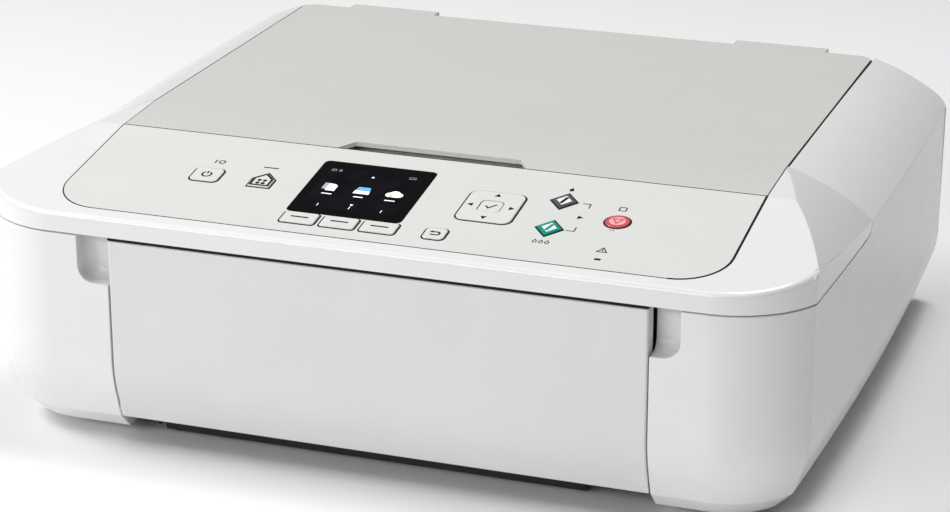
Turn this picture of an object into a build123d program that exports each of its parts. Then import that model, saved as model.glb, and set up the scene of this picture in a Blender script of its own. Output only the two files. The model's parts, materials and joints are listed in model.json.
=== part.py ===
from build123d import *
import math
import os

os.makedirs("parts", exist_ok=True)

# ---------------------------------------------------------------------------
# Driving dimensions, in millimetres.
# +X is the printer's left as it faces you (the viewer's right), -Y its front,
# +Z up. The origin is on the table under the middle of the printer.
# ---------------------------------------------------------------------------
HALF_W = 227.5
FRONT_Y = -184.5
REAR_Y = 176.0
TOP_Z = 148.0
BASE_Z = 7.0
WALL = 2.6

# Top line, from the rear to the front: level, nearly level, sloped.
BEND_Y = -43.0
PANEL_REAR_Y = -84.0
PANEL_REAR_Z = 145.7
BROW_FRONT_Z = 129.6
LID_SLOPE = (TOP_Z - PANEL_REAR_Z) / (BEND_Y - PANEL_REAR_Y)
PANEL_SLOPE = (PANEL_REAR_Z - BROW_FRONT_Z) / (PANEL_REAR_Y - FRONT_Y)
PANEL_TILT = math.degrees(math.atan(PANEL_SLOPE))

# Lower edge of the shell: an arc, a leaning flat and a chamfer.
SKIRT_Z = 51.0
SKIRT_R = 64.0
SKIRT_LEAN = math.radians(19.0)
SKIRT_KNEE = (8.2, 16.4)
SKIRT_FOOT = (17.6, BASE_Z)

# Plan outline: round front corners that end in an upright crease, and sides
# that bow very slightly.
CORNER_R = 52.4
CORNER_X = HALF_W - CORNER_R
CORNER_Y = FRONT_Y + CORNER_R
SIDE_R = 3830.0
SIDE_MID_Y = 37.0
REAR_CORNER_R = 10.0
REAR_CORNER_X = 215.3
REAR_CORNER_Y = REAR_Y - REAR_CORNER_R

# Convex bevels beside the lid, carried on as the facets at the brow's front
# corners, where they rise slowly towards the front.
LID_HALF_W = 180.0
BEVEL_LOW_Z = 124.5
BEVEL_BULGE = 2.6
FACET_RISE = 0.062

# Parting between the scanner unit and the body.
BROW_BOTTOM_Z = 119.0
BODY_TOP_Z = 118.2
PART_Y = -45.0
PART_LEAN = 0.22

# Front cover and its hinge.
COVER_LEFT_X = -140.8
COVER_RIGHT_X = 147.5
COVER_BOTTOM_Z = 16.6
COVER_TOP_Z = 117.5
COVER_GAP = 0.8
COVER_AXIS = (-171.5, 23.6)
COVER_PIN_R = 2.2
COVER_INNER_Y = -168.0

# Hinges of the scanner unit and of the document lid, as (y, z).
SCANNER_AXIS = (168.0, 126.0)
LID_AXIS = (178.4, 141.9)
RUNNING_GAP = 0.06
HINGE_X = 166.0

# Document lid, platen and operation panel.
LID_THICK = 6.4
LID_GAP = 0.4
LID_FRONT_Y = -83.0
LID_REAR_Y = 174.8
PANEL_FRONT_Y = -175.6
PANEL_CORNER_R = 26.0
PANEL_THICK = 2.2

# Cassette and paper path. Paper is 216 wide on a centre line left of middle.
PAPER_X = -9.5
CASSETTE_HALF_W = 116.5
CASSETTE_FRONT_Y = -155.0
CASSETTE_REAR_Y = 150.0
CASSETTE_BOTTOM_Z = 2.5
CASSETTE_TOP_Z = 13.9
LEDGE_Z = 9.2
DECK_Z = 16.5

# Base plate, circuit board, power supply and feet.
BASE_HALF_W = 195.4
BASE_Y = (-145.4, 169.4)
BASE_THICK = 2.4
BOARD_X = (118.0, 204.0)
BOARD_Y = (72.0, 150.0)
BOARD_Z = 30.0
BOARD_THICK = 1.6
SUPPLY_X = (-206.0, -134.0)
SUPPLY_Y = (74.0, 144.0)
SUPPLY_Z = (20.0, 58.0)
FOOT_X = 188.0
FOOT_Y = (-128.0, 150.0)
FOOT_R = 8.0

BELT_Z = 94.0
BELT_Y = 57.0
PULLEY_R = 6.0


def box(x0, x1, y0, y1, z0, z1):
    """A block given by its two corners."""
    centre = Pos((x0 + x1) / 2, (y0 + y1) / 2, (z0 + z1) / 2)
    return centre * Box(x1 - x0, y1 - y0, z1 - z0)


def bar_x(x0, x1, y, z, r):
    """A round bar along X."""
    return Pos((x0 + x1) / 2, y, z) * Rot(0, 90, 0) * Cylinder(r, x1 - x0)


def bar_y(x, y0, y1, z, r):
    """A round bar along Y."""
    return Pos(x, (y0 + y1) / 2, z) * Rot(90, 0, 0) * Cylinder(r, y1 - y0)


def bar_z(x, y, z0, z1, r):
    """A round bar along Z."""
    return Pos(x, y, (z0 + z1) / 2) * Cylinder(r, z1 - z0)


def slab_yz(points, x0, x1):
    """A YZ outline extruded along X."""
    face = make_face(Polyline(*points, close=True))
    return extrude(Plane.YZ.offset(x0) * face, amount=x1 - x0)


def slab_xz(points, y0, y1):
    """An XZ outline extruded along Y."""
    face = make_face(Polyline(*points, close=True))
    return extrude(Plane.XZ.offset(-y1) * face, amount=y1 - y0)


def slab_xy(points, z0, z1):
    """An XY outline extruded along Z."""
    face = make_face(Polyline(*points, close=True))
    return extrude(Plane.XY.offset(z0) * face, amount=z1 - z0)


def both_sides(half):
    """A half built for x >= 0, with its mirror image."""
    return half + mirror(half, about=Plane.YZ)


def top_z(y):
    """Height of the top surface over the middle of the printer."""
    if y >= BEND_Y:
        return TOP_Z
    if y >= PANEL_REAR_Y:
        return TOP_Z - LID_SLOPE * (BEND_Y - y)
    return PANEL_REAR_Z - PANEL_SLOPE * (PANEL_REAR_Y - y)


# ---------------------------------------------------------------------------
# Outer envelope. Every shell is cut from it at an inset t.
# ---------------------------------------------------------------------------
def skirt_points(t):
    """The shell's lower edge at inset t, as (distance in from the face, z)."""
    lean = (math.cos(SKIRT_LEAN), math.sin(SKIRT_LEAN))
    slant = (math.sqrt(0.5), math.sqrt(0.5))
    flat = (0.0, 1.0)

    def on_arc(angle):
        reach = SKIRT_R - t
        return (SKIRT_R - reach * math.cos(angle), SKIRT_Z - reach * math.sin(angle))

    def corner(point, first, second):
        spread = 1 + first[0] * second[0] + first[1] * second[1]
        return tuple(p + t * (a + b) / spread for p, a, b in zip(point, first, second))

    start, middle, end = (on_arc(SKIRT_LEAN * k) for k in (0, 0.5, 1))
    return start, middle, end, corner(SKIRT_KNEE, lean, slant), corner(SKIRT_FOOT, slant, flat)


def skirted_face(place, before, after, t, crown=None):
    """A closed face whose lower outer edge is the skirt; place maps (in, z).
    A crown point bends the last line of before into an arc."""
    start, middle, end, knee, foot = [place(*p) for p in skirt_points(t)]
    if crown:
        upper = Polyline(*before[:-1]) + ThreePointArc(before[-2], crown, before[-1])
        upper += Line(before[-1], start)
    else:
        upper = Polyline(*before, start)
    arc = ThreePointArc(start, middle, end)
    lower = Polyline(end, knee, foot, *after, before[0])
    return make_face(upper + arc + lower)


def front_slab(t, x0, x1):
    """The side view of the printer, extruded across it."""
    rear = REAR_Y - t
    before = [(rear, TOP_Z - t), (BEND_Y, TOP_Z - t), (PANEL_REAR_Y, PANEL_REAR_Z - t)]
    before.append((FRONT_Y + t, top_z(FRONT_Y + t) - t))
    after = [(rear - 10, BASE_Z + t), (rear, BASE_Z + t + 12)]
    face = skirted_face(lambda d, z: (FRONT_Y + d, z), before, after, t)
    return extrude(Plane.YZ.offset(x0) * face, amount=x1 - x0)


def bevel_circle():
    """The circle that carries the bevel's section, as (x, z, radius)."""
    dx, dz = HALF_W - LID_HALF_W, TOP_Z - BEVEL_LOW_Z
    chord = math.hypot(dx, dz)
    radius = (chord**2 / 4 + BEVEL_BULGE**2) / (2 * BEVEL_BULGE)
    reach = (radius - BEVEL_BULGE) / chord
    return LID_HALF_W + dx / 2 - dz * reach, TOP_Z - dz / 2 - dx * reach, radius


def bevel_point(x, t):
    """The point of the bevel's section at x, at inset t."""
    centre_x, centre_z, radius = bevel_circle()
    return x, centre_z + math.sqrt((radius - t) ** 2 - (x - centre_x) ** 2)


def side_sweep(t, bevelled):
    """The front view of the right half, swept along the bowed side."""
    inner = -60.0
    wall = HALF_W - t
    if bevelled:
        top = bevel_point(LID_HALF_W, t)
        before = [(inner, top[1]), top, bevel_point(wall, t)]
        crown = bevel_point((LID_HALF_W + wall) / 2, t)
    else:
        before = [(inner, TOP_Z + 5), (wall, TOP_Z + 5)]
        crown = None
    after = [(inner, BASE_Z + t)]
    face = skirted_face(lambda d, z: (HALF_W - d, z), before, after, t, crown)
    axis_x = HALF_W - SIDE_R
    spread = 3.6
    swing = Pos(axis_x, SIDE_MID_Y, 0) * Rot(0, 0, -spread) * Pos(-axis_x, 0, 0)
    profile = swing * (Plane.XZ * face)
    return revolve(profile, Axis((axis_x, SIDE_MID_Y, 0), (0, 0, 1)), 2 * spread)


def front_corner_cut(t):
    """What the round front corner takes off the right half."""
    height = TOP_Z + 10
    before = [(0, height), (CORNER_R - t, height)]
    after = [(0, BASE_Z + t)]
    face = skirted_face(lambda d, z: (CORNER_R - d, z), before, after, t)
    keep = Pos(CORNER_X, CORNER_Y, 0) * revolve(Plane.XZ * face, Axis.Z, 360)
    block = box(CORNER_X, HALF_W + 20, FRONT_Y - 20, CORNER_Y, -5, height - 5)
    return block - keep


def rear_corner_cut(t):
    """What the round rear corner takes off the right half."""
    block = box(REAR_CORNER_X, HALF_W + 20, REAR_CORNER_Y, REAR_Y + 20, -5, TOP_Z + 5)
    return block - bar_z(REAR_CORNER_X, REAR_CORNER_Y, -10, TOP_Z + 10, REAR_CORNER_R - t)


def envelope_half(t, bevelled):
    """The right half of the printer's outer form, inset by t."""
    half = front_slab(t, 0, HALF_W + 10) & side_sweep(t, bevelled)
    return half - front_corner_cut(t) - rear_corner_cut(t)


def facet_cut(t):
    """The space above the brow's front corner facet, right half."""
    x, z, radius = bevel_circle()
    section = Plane(origin=(x, PART_Y, z), x_dir=(1, 0, 0), z_dir=(0, 1, -FACET_RISE))
    core = extrude(section * Circle(radius - t), amount=260, both=True)
    return box(x, 260, -220, 60, 95, 200) - core


def brow_zone(gap, z_low):
    """Space in front of the parting face, above z_low, right half."""
    face_low = PART_Y - gap + PART_LEAN * (z_low + 5 - BODY_TOP_Z)
    face_high = PART_Y - gap + PART_LEAN * (TOP_Z + 6 - BODY_TOP_Z)
    bend = (face_low - 2.6, z_low + 1.4)
    outline = [(FRONT_Y - 20, z_low), (face_low - 8, z_low), bend, (face_low, z_low + 5)]
    outline += [(face_high, TOP_Z + 6), (FRONT_Y - 20, TOP_Z + 6)]
    return slab_yz(outline, 0, HALF_W + 20)


# ---------------------------------------------------------------------------
# Side housings
# ---------------------------------------------------------------------------
RECESS_DEPTH = 12.5
INLET_MOUTH = (182.5, 201.5, 29.0, 45.0)
USB_MOUTH = (187.0, 199.0, 32.0, 41.0)
RECESS_BOTTOM_Z = 93.0


def finger_recess(edge, width, grow):
    """The pull recess beside the cover; grow turns it into its own wall."""
    low = RECESS_BOTTOM_Z - grow
    back = FRONT_Y + RECESS_DEPTH + grow
    block = box(edge - 6, edge + width + grow, FRONT_Y - 5 + grow, back, low, BODY_TOP_Z + 3)
    lower = block.edges().filter_by(Axis.Y).sort_by(lambda e: e.center().X - e.center().Z)[-1]
    block = fillet(lower, 9 + grow)
    rear = block.edges().filter_by(Axis.Z).sort_by(lambda e: e.center().X + e.center().Y)[-1]
    return fillet(rear, 7 + grow)


def housing(edge, recess_width, socket):
    """One side housing, built as the right one; edge is the cover opening."""
    outer = envelope_half(0, True)
    shell = outer - envelope_half(WALL, True)
    rim = box(LID_HALF_W + 0.4, LID_HALF_W + 3, PART_Y - 5, REAR_Y, 116.4, TOP_Z) & outer
    jamb = box(edge, edge + 2.5, FRONT_Y, -140, BASE_Z, BODY_TOP_Z) & outer
    shell = shell + rim + jamb
    keep = box(edge, 240, FRONT_Y - 5, -100, 0, 150)
    keep += box(LID_HALF_W + 0.4, 240, -100, REAR_Y + 5, 0, 150)
    keep += box(152, 240, 150, REAR_Y + 5, 0, 116)
    shell = shell & keep
    shell += (finger_recess(edge, recess_width, 2.0) & outer) & box(edge, 240, -190, -150, 0, 119)
    shell -= finger_recess(edge, recess_width, 0.0)
    shell -= box(0, 196, -146, REAR_Y - 6, 0, 12)
    shell -= brow_zone(0, BODY_TOP_Z)
    shell -= box(socket[0], socket[1], REAR_Y - 8, REAR_Y + 5, socket[2], socket[3])
    pin_y, pin_z = COVER_AXIS
    boss = bar_x(edge + 2.5, edge + 6, pin_y, pin_z, 4.6)
    return shell + boss - bar_x(edge - 1, edge + 5, pin_y, pin_z, COVER_PIN_R + RUNNING_GAP)


def largest(shape):
    """The main solid of a shape, without loose slivers."""
    return shape.solids().sort_by(SortBy.VOLUME)[-1]


def make_housings():
    right = largest(housing(COVER_RIGHT_X + COVER_GAP, 15.5, USB_MOUTH))
    left = largest(housing(-COVER_LEFT_X + COVER_GAP, 17.0, INLET_MOUTH))
    return {"right_housing": right, "left_housing": mirror(left, about=Plane.YZ)}


# ---------------------------------------------------------------------------
# Front cover with the tray on its inside
# ---------------------------------------------------------------------------
TRAY_Y = -178.6
SUPPORT_HALF_W = 53.0
SUPPORT_TRAVEL = 50.0


def make_cover():
    x0, x1 = COVER_LEFT_X, COVER_RIGHT_X
    mid = (x0 + x1) / 2
    outer = front_slab(0, x0, x1)
    zone = box(x0, x1, FRONT_Y - 5, COVER_INNER_Y, COVER_BOTTOM_Z, COVER_TOP_Z)
    cover = (outer - front_slab(WALL, x0 - 1, x1 + 1)) & zone
    rim = (outer - front_slab(9.0, x0 - 1, x1 + 1)) & zone
    for side in (x0, x1 - 2.2):
        cover += rim & box(side, side + 2.2, -190, -150, COVER_BOTTOM_Z, COVER_TOP_Z)
    cover += box(x0, x1, FRONT_Y, FRONT_Y + 8, COVER_TOP_Z - 2.2, COVER_TOP_Z)
    cover += rim & box(x0, x1, -190, -150, COVER_BOTTOM_Z, COVER_BOTTOM_Z + 2.4)
    pin_y, pin_z = COVER_AXIS
    for inner, outer_end in ((x0 + 4, x0 - 4.6), (x1 - 4, x1 + 4.6)):
        low, high = sorted((inner, outer_end))
        ear_low, ear_high = sorted((inner, inner + math.copysign(4, outer_end - inner)))
        cover += bar_x(ear_low, ear_high, pin_y, pin_z, 4.4)
        cover += box(ear_low, ear_high, FRONT_Y + 6, pin_y, pin_z - 3, pin_z + 4.4) & zone
        cover += bar_x(low, high, pin_y, pin_z, COVER_PIN_R)
    slot_x = SUPPORT_HALF_W + 1
    cover -= box(mid - slot_x, mid + slot_x, FRONT_Y + WALL, TRAY_Y, COVER_TOP_Z - 5, COVER_TOP_Z + 1)
    edges = cover.edges().filter_by(GeomType.LINE)
    front_edges = [e for e in edges if e.center().Y < FRONT_Y + 0.01 and e.length > 60]
    cover = chamfer(front_edges, 0.7)

    tray = box(x0 + 12, x1 - 12, TRAY_Y, TRAY_Y + 2.2, 36, 112)
    for k in range(-4, 5):
        tray += box(mid + 28 * k - 0.9, mid + 28 * k + 0.9, TRAY_Y + 2.2, TRAY_Y + 3.6, 40, 108)
    for side in (x0 + 12, x1 - 14):
        tray += box(side, side + 2, FRONT_Y + WALL, TRAY_Y, 56, 112)
    tray = tray - box(mid - 14, mid + 14, -190, -150, 104, 115)

    support = box(mid - SUPPORT_HALF_W, mid + SUPPORT_HALF_W, FRONT_Y + WALL + 0.5, TRAY_Y - 0.5, 58, 111.5)
    support = fillet(support.edges().filter_by(Axis.Y), 4)
    support -= box(mid - 10, mid + 10, -190, -170, 101, 107)
    return {"front_cover": largest(cover), "output_tray": tray, "output_support": support}


# ---------------------------------------------------------------------------
# Scanner unit: brow and platen frame, pan, glass, scan bar
# ---------------------------------------------------------------------------
SHEET = 2.6
PLATEN_DROP = LID_THICK + LID_GAP
GLASS_X = (-158.0, 152.0)
GLASS_Y = (-42.0, 171.4)
WINDOW_EDGE = 6.0
SCAN_HOME_X = -150.0
SCAN_TRAVEL = 290.0
RACK_Y = 58.0
SCAN_MODULE = 1.0
SCAN_TEETH = 12
PINION_PIN_R = 1.5
PAN_WALL_X = 173.6
PAN_TOP_Z = 133.0


def above_top(drop, y0, y1, x1):
    """Space above a surface that lies drop below the top line, right half."""
    ys = [y0] + [y for y in (PANEL_REAR_Y, BEND_Y) if y0 < y < y1] + [y1]
    outline = [(y, top_z(y) - drop) for y in ys]
    outline += [(y1, TOP_Z + 10), (y0, TOP_Z + 10)]
    return slab_yz(outline, -1, x1)


def panel_outline(inset, rear_y):
    """Plan outline of the operation panel, right half, as a tall block."""
    front = PANEL_FRONT_Y + inset
    half = LID_HALF_W - inset
    block = box(-1, half, front, rear_y, 100, 170)
    corner = block.edges().filter_by(Axis.Z).sort_by(lambda e: e.center().X - e.center().Y)[-1]
    return fillet(corner, PANEL_CORNER_R - inset)


def brow_half(t, gap, z_low):
    half = envelope_half(t, False) - facet_cut(t)
    return half & brow_zone(gap, z_low)


def rear_round_cut():
    """Rounds the scanner unit's rear lower edge about its hinge axis."""
    y, z = SCANNER_AXIS
    block = box(-200, 200, y, y + 20, z - 20, z)
    return block - bar_x(-210, 210, y, z, 7.2)


def hinge_notches():
    y, z = SCANNER_AXIS
    right = box(HINGE_X - 5.4, HINGE_X + 5.4, y - 9, y + 12, z - 12, z + 8)
    return right + mirror(right, about=Plane.YZ)


def make_scanner_frame():
    pocket_edge = LID_HALF_W
    outer = brow_half(0, 0.6, BROW_BOTTOM_Z)
    outer += box(0, LID_HALF_W - 0.3, -60, REAR_Y - 0.6, BROW_BOTTOM_Z, TOP_Z - PLATEN_DROP)
    edge = outer.edges().filter_by(GeomType.LINE)
    brow_edges = [e for e in edge if abs(e.center().Y - FRONT_Y) < 0.01 and e.center().Z > 128]
    outer = fillet(brow_edges, 3.0) if brow_edges else outer
    lid_pocket = above_top(PLATEN_DROP, LID_FRONT_Y - 0.3, REAR_Y + 5, pocket_edge)
    panel_pocket = above_top(PANEL_THICK, -190, LID_FRONT_Y, 230) & panel_outline(0, LID_FRONT_Y)
    outer = outer - lid_pocket - panel_pocket

    cavity = brow_half(WALL, 0.6 + WALL, 100)
    cavity += box(0, LID_HALF_W - 0.3 - SHEET, -70, REAR_Y - 0.6 - SHEET, 100, TOP_Z)
    cavity -= above_top(PLATEN_DROP + SHEET, LID_FRONT_Y - SHEET, REAR_Y + 5, pocket_edge + SHEET)
    panel_floor = above_top(PANEL_THICK + SHEET, -190, LID_FRONT_Y, 230)
    cavity -= panel_floor & panel_outline(-SHEET, LID_FRONT_Y)
    frame = both_sides(outer - cavity)

    gx0, gx1 = GLASS_X
    gy0, gy1 = GLASS_Y
    frame -= box(gx0 + WINDOW_EDGE, gx1 - WINDOW_EDGE, gy0 + WINDOW_EDGE, gy1 - WINDOW_EDGE, 130, 150)
    frame -= box(-152, 152, -168, -94, 120, 150)
    frame = frame - rear_round_cut() - hinge_notches()
    y, z = LID_AXIS
    for side in (-1, 1):
        frame -= bar_x(side * 123 - 14.6, side * 123 + 14.6, y, z, 4.3)
    return largest(frame)


def toothed_wheel(teeth, module, thick, bore, phase=0.0):
    """A spur gear about Z, with straight-flanked teeth and easy backlash."""
    pitch = teeth * module / 2
    root, tip = pitch - 1.3 * module, pitch + 0.8 * module
    step = 2 * math.pi / teeth
    points = []
    for k in range(teeth):
        for share, r in ((-0.30, root), (-0.11, tip), (0.11, tip), (0.30, root)):
            angle = phase + (k + share) * step
            points.append((r * math.cos(angle), r * math.sin(angle)))
    wheel = extrude(make_face(Polyline(*points, close=True)), amount=thick)
    return wheel - Pos(0, 0, thick / 2) * Cylinder(bore, thick + 2)


def make_scanner_inside():
    top = 135.3
    plate = brow_half(WALL + 0.5, 0.6 + WALL + 0.5, 110)
    plate += box(0, LID_HALF_W - 0.8 - SHEET, -70, REAR_Y - 1.1 - SHEET, 110, TOP_Z)
    plate = both_sides(plate & box(-1, 240, -200, 200, BROW_BOTTOM_Z + 0.4, BROW_BOTTOM_Z + 2.6))
    floor_top = BROW_BOTTOM_Z + 2.6
    pan = plate
    for side in (-1, 1):
        wall_x = side * PAN_WALL_X
        pan += box(wall_x - 1.2, wall_x + 1.2, -40, 170, floor_top, PAN_TOP_Z)
    pan += box(-174, 174, -42, -39.6, floor_top, PAN_TOP_Z)
    pan = pan - rear_round_cut() - hinge_notches()
    axis_y, axis_z = SCANNER_AXIS
    for side in (-1, 1):
        low, high = sorted((side * (HINGE_X - 3.4), side * 174))
        pan += bar_x(low, high, axis_y, axis_z, 2.5)

    pitch = math.pi * SCAN_MODULE
    count = int((SCAN_TRAVEL + 30) / pitch)
    start = SCAN_HOME_X - 5 * pitch
    rack = [(start - 4, RACK_Y + 4), (start - 4, RACK_Y + 1.3)]
    for k in range(count):
        x = start + k * pitch
        rack += [(x - 0.30 * pitch, RACK_Y + 1.3), (x - 0.11 * pitch, RACK_Y - 0.8)]
        rack += [(x + 0.11 * pitch, RACK_Y - 0.8), (x + 0.30 * pitch, RACK_Y + 1.3)]
    last = start + count * pitch
    rack += [(last, RACK_Y + 1.3), (last, RACK_Y + 4)]
    pan += slab_xy(rack, floor_top, floor_top + 3.4)

    pinion_r = SCAN_MODULE * SCAN_TEETH / 2
    pinion_y = RACK_Y - pinion_r - 0.25
    phase = math.pi / 2 + math.pi / SCAN_TEETH
    wheel = toothed_wheel(SCAN_TEETH, SCAN_MODULE, 2.8, PINION_PIN_R + RUNNING_GAP, phase)
    pinion = Pos(SCAN_HOME_X, pinion_y, floor_top + 0.5) * wheel

    bar = box(SCAN_HOME_X - 9, SCAN_HOME_X + 9, -38, 169, 126, top - 0.4)
    bar -= box(SCAN_HOME_X - 6, SCAN_HOME_X + 6, -34, 165, 133.4, 140)
    bar += box(SCAN_HOME_X - 2, SCAN_HOME_X + 2, -34, 165, 133.4, top - 0.9)
    for y in (-34, 164):
        bar += box(SCAN_HOME_X - 7, SCAN_HOME_X + 7, y - 3, y + 3, floor_top + 0.4, 126)
    bar += bar_z(SCAN_HOME_X, pinion_y, floor_top + 0.8, 126, PINION_PIN_R)
    glass = box(*GLASS_X, *GLASS_Y, top + 0.5, TOP_Z - PLATEN_DROP - SHEET)
    return {"scanner_pan": largest(pan), "scan_pinion": pinion, "scan_bar": bar, "platen_glass": glass}


# ---------------------------------------------------------------------------
# Document lid, its pad and its hinges
# ---------------------------------------------------------------------------
TAB_X = (95.0, 151.0)
GRIP_X = (-53.0, 50.0)
GRIP_BACK_Y = -71.5
LID_CORNER_R = 8.0
LID_SKIN = 2.4
TAB_REAR_Y = 184.5
TAB_ROUND = 2.0
PAD_X = (-151.0, 148.0)
PAD_Y = (-36.0, 168.0)


def make_lid():
    half = LID_HALF_W - 0.5
    y_line, z_line = LID_AXIS
    slab = above_top(0, LID_FRONT_Y + 0.3, LID_REAR_Y, half) & box(0, half, -190, 190, 100, 150)
    front, front_z = LID_FRONT_Y + 0.3, top_z(LID_FRONT_Y)
    under = [(front, front_z - LID_THICK), (BEND_Y, TOP_Z - LID_THICK), (LID_REAR_Y, TOP_Z - LID_THICK)]
    upper = [(LID_REAR_Y, TOP_Z), (BEND_Y, TOP_Z), (front, front_z)]
    body = slab_yz(under + upper, 0, half)
    rear = body.edges().filter_by(Axis.Z).sort_by(lambda e: e.center().X + e.center().Y)[-1]
    body = fillet(rear, LID_CORNER_R)
    inner_front, inner_rear = LID_FRONT_Y + 3, LID_REAR_Y - 3
    hollow = [(inner_front, 130), (inner_front, front_z - LID_SKIN), (BEND_Y, TOP_Z - LID_SKIN)]
    hollow += [(inner_rear, TOP_Z - LID_SKIN), (inner_rear, 130)]
    tab = box(*TAB_X, LID_REAR_Y - 6, TAB_REAR_Y, z_line - 0.9, TOP_Z)
    tab_edges = tab.edges().filter_by(Axis.X).sort_by(Axis.Y)[-2:]
    tab = fillet(tab_edges, TAB_ROUND)
    tab -= box(0, 200, 100, y_line - 2.3, 100, z_line - 0.2)
    body = body - slab_yz(hollow, 0, half - 3) + tab
    mid = sum(TAB_X) / 2
    body -= bar_x(mid - 14.6, mid + 14.6, y_line, z_line, 4.2)
    body -= box(mid - 14.6, mid + 14.6, LID_REAR_Y - 1, y_line + 1, 130, z_line + 0.4)
    body -= bar_x(TAB_X[0] + 2, TAB_X[1] - 2, y_line, z_line, 1.5 + RUNNING_GAP)
    lid = both_sides(body)
    g0, g1 = GRIP_X
    grip = [(g0 - 5, LID_FRONT_Y - 5), (g0 + 5, GRIP_BACK_Y)]
    grip += [(g1 - 5, GRIP_BACK_Y), (g1 + 5, LID_FRONT_Y - 5)]
    lid -= slab_xy(grip, 120, 160)
    wall = [(g0 + 1, LID_FRONT_Y + 3), (g0 + 3.4, GRIP_BACK_Y + 2)]
    wall += [(g1 - 3.4, GRIP_BACK_Y + 2), (g1 - 1, LID_FRONT_Y + 3)]
    lip = slab_xy(wall, 120, 160) - slab_xy(grip, 110, 170)
    lid += lip & (slab + mirror(slab, about=Plane.YZ)) & box(-90, 90, -90, -60, TOP_Z - LID_THICK - 1, 150)

    pad = box(*PAD_X, *PAD_Y, TOP_Z - LID_THICK + 0.1, TOP_Z - 2.6)
    pad = fillet(pad.edges().filter_by(Axis.Z), 5)

    bracket = box(mid - 14, mid + 14, REAR_Y - 0.6, y_line, 128, z_line)
    bracket += bar_x(mid - 14, mid + 14, y_line, z_line, 3.8)
    bracket += bar_x(TAB_X[0] + 3, TAB_X[1] - 3, y_line, z_line, 1.5)
    return {"document_lid": largest(lid), "document_pad": pad, "lid_hinges": both_sides(bracket)}


# ---------------------------------------------------------------------------
# Operation panel, display and buttons, laid out on the sloped plane.
# A button is (centre x, centre y in plan, width, height, corner radius).
# ---------------------------------------------------------------------------
BUTTON_RISE = 0.7
BUTTON_STEM = 5.4
BUTTON_GAP = 0.5
DISPLAY = (-22.9, -126.1, 62.8, 56.5, 3.0)
ARROW_PAD = (47.5, -127.4, 29.4, 31.0, 4.5)
BUTTONS = {
    "power_button": (-109.8, -128.0, 15.6, 14.0, 3.0),
    "left_function_button": (-43.6, -160.9, 18.6, 10.8, 1.5),
    "centre_function_button": (-21.9, -160.9, 18.6, 10.8, 1.5),
    "right_function_button": (-0.2, -160.9, 18.6, 10.8, 1.5),
    "back_button": (29.5, -160.4, 11.2, 10.8, 2.5),
    "ok_button": (47.3, -127.3, 11.6, 11.2, 2.5),
}
HOME_BUTTON = (-78.2, -127.0, 12.0, 15.0)
DIAMOND = (6.7, 7.9)
BLACK_START = (81.8, -112.6)
COLOUR_START = (83.2, -141.4)
STOP_BUTTON = (114.4, -127.3, 6.3)


def on_panel(x, y, face, low, high):
    """Extrudes a face lying on the panel at plan place (x, y), low to high."""
    normal = (0, -math.sin(math.radians(PANEL_TILT)), math.cos(math.radians(PANEL_TILT)))
    plane = Plane(origin=(x, y, top_z(y)), x_dir=(1, 0, 0), z_dir=normal)
    return extrude(plane.offset(low) * face, amount=high - low)


def rounded(w, h, r, grow):
    scale = math.cos(math.radians(PANEL_TILT))
    return RectangleRounded(w + 2 * grow, h / scale + 2 * grow, r + grow)


def house(w, h, grow):
    """A house outline: a square with a pitched roof."""
    half, low, eave, peak = w / 2 + grow, -h / 2 - grow, h * 0.08 + grow, h / 2 + grow * 1.3
    return make_face(Polyline((-half, low), (half, low), (half, eave), (0, peak), (-half, eave), close=True))


def diamond(grow):
    a, b = DIAMOND[0] + grow, DIAMOND[1] + grow
    return make_face(Polyline((a, 0), (0, b), (-a, 0), (0, -b), close=True))


def button_faces(grow):
    """Every button's outline and its place, the arrow pad included."""
    faces = {}
    for name, (x, y, w, h, r) in BUTTONS.items():
        faces[name] = (x, y, rounded(w, h, r, grow))
    faces["arrow_pad"] = (ARROW_PAD[0], ARROW_PAD[1], rounded(*ARROW_PAD[2:], grow))
    faces["home_button"] = (HOME_BUTTON[0], HOME_BUTTON[1], house(*HOME_BUTTON[2:], grow))
    faces["black_start_button"] = (*BLACK_START, diamond(grow))
    faces["colour_start_button"] = (*COLOUR_START, diamond(grow))
    faces["stop_button"] = (STOP_BUTTON[0], STOP_BUTTON[1], Circle(STOP_BUTTON[2] + grow))
    return faces


def make_panel():
    clear = 0.2
    half = above_top(PANEL_THICK, -190, LID_FRONT_Y - 0.2, 230) & panel_outline(clear, LID_FRONT_Y - 0.2)
    half &= front_slab(0, -1, 230)
    plate = both_sides(half & box(0, 230, -190, 0, 100, 160))
    x, y, w, h, r = DISPLAY
    plate -= on_panel(x, y, rounded(w, h, r, 0.15), -10, 5)
    nodes = {}
    holes = button_faces(BUTTON_GAP)
    for name, (bx, by, face) in button_faces(0).items():
        plate -= on_panel(bx, by, holes[name][2], -10, 5)
        cap = on_panel(bx, by, face, -BUTTON_STEM, BUTTON_RISE)
        top_face = cap.faces().sort_by(Axis.Z)[-1]
        nodes[name] = chamfer(top_face.edges(), 0.35)
    ox, oy, hole = holes["ok_button"]
    nodes["arrow_pad"] -= on_panel(ox, oy, hole, -10, 5)
    nodes["operation_panel"] = plate
    window = on_panel(x, y, rounded(w, h, r, 0), -PANEL_THICK, 0.1)
    nodes["display_window"] = window
    board = on_panel(0, -131, Rectangle(250, 72), -8.6, -7.0)
    board += on_panel(x, y + 1, Rectangle(58, 50), -7.0, -2.5)
    nodes["control_board"] = board
    return nodes


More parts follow.
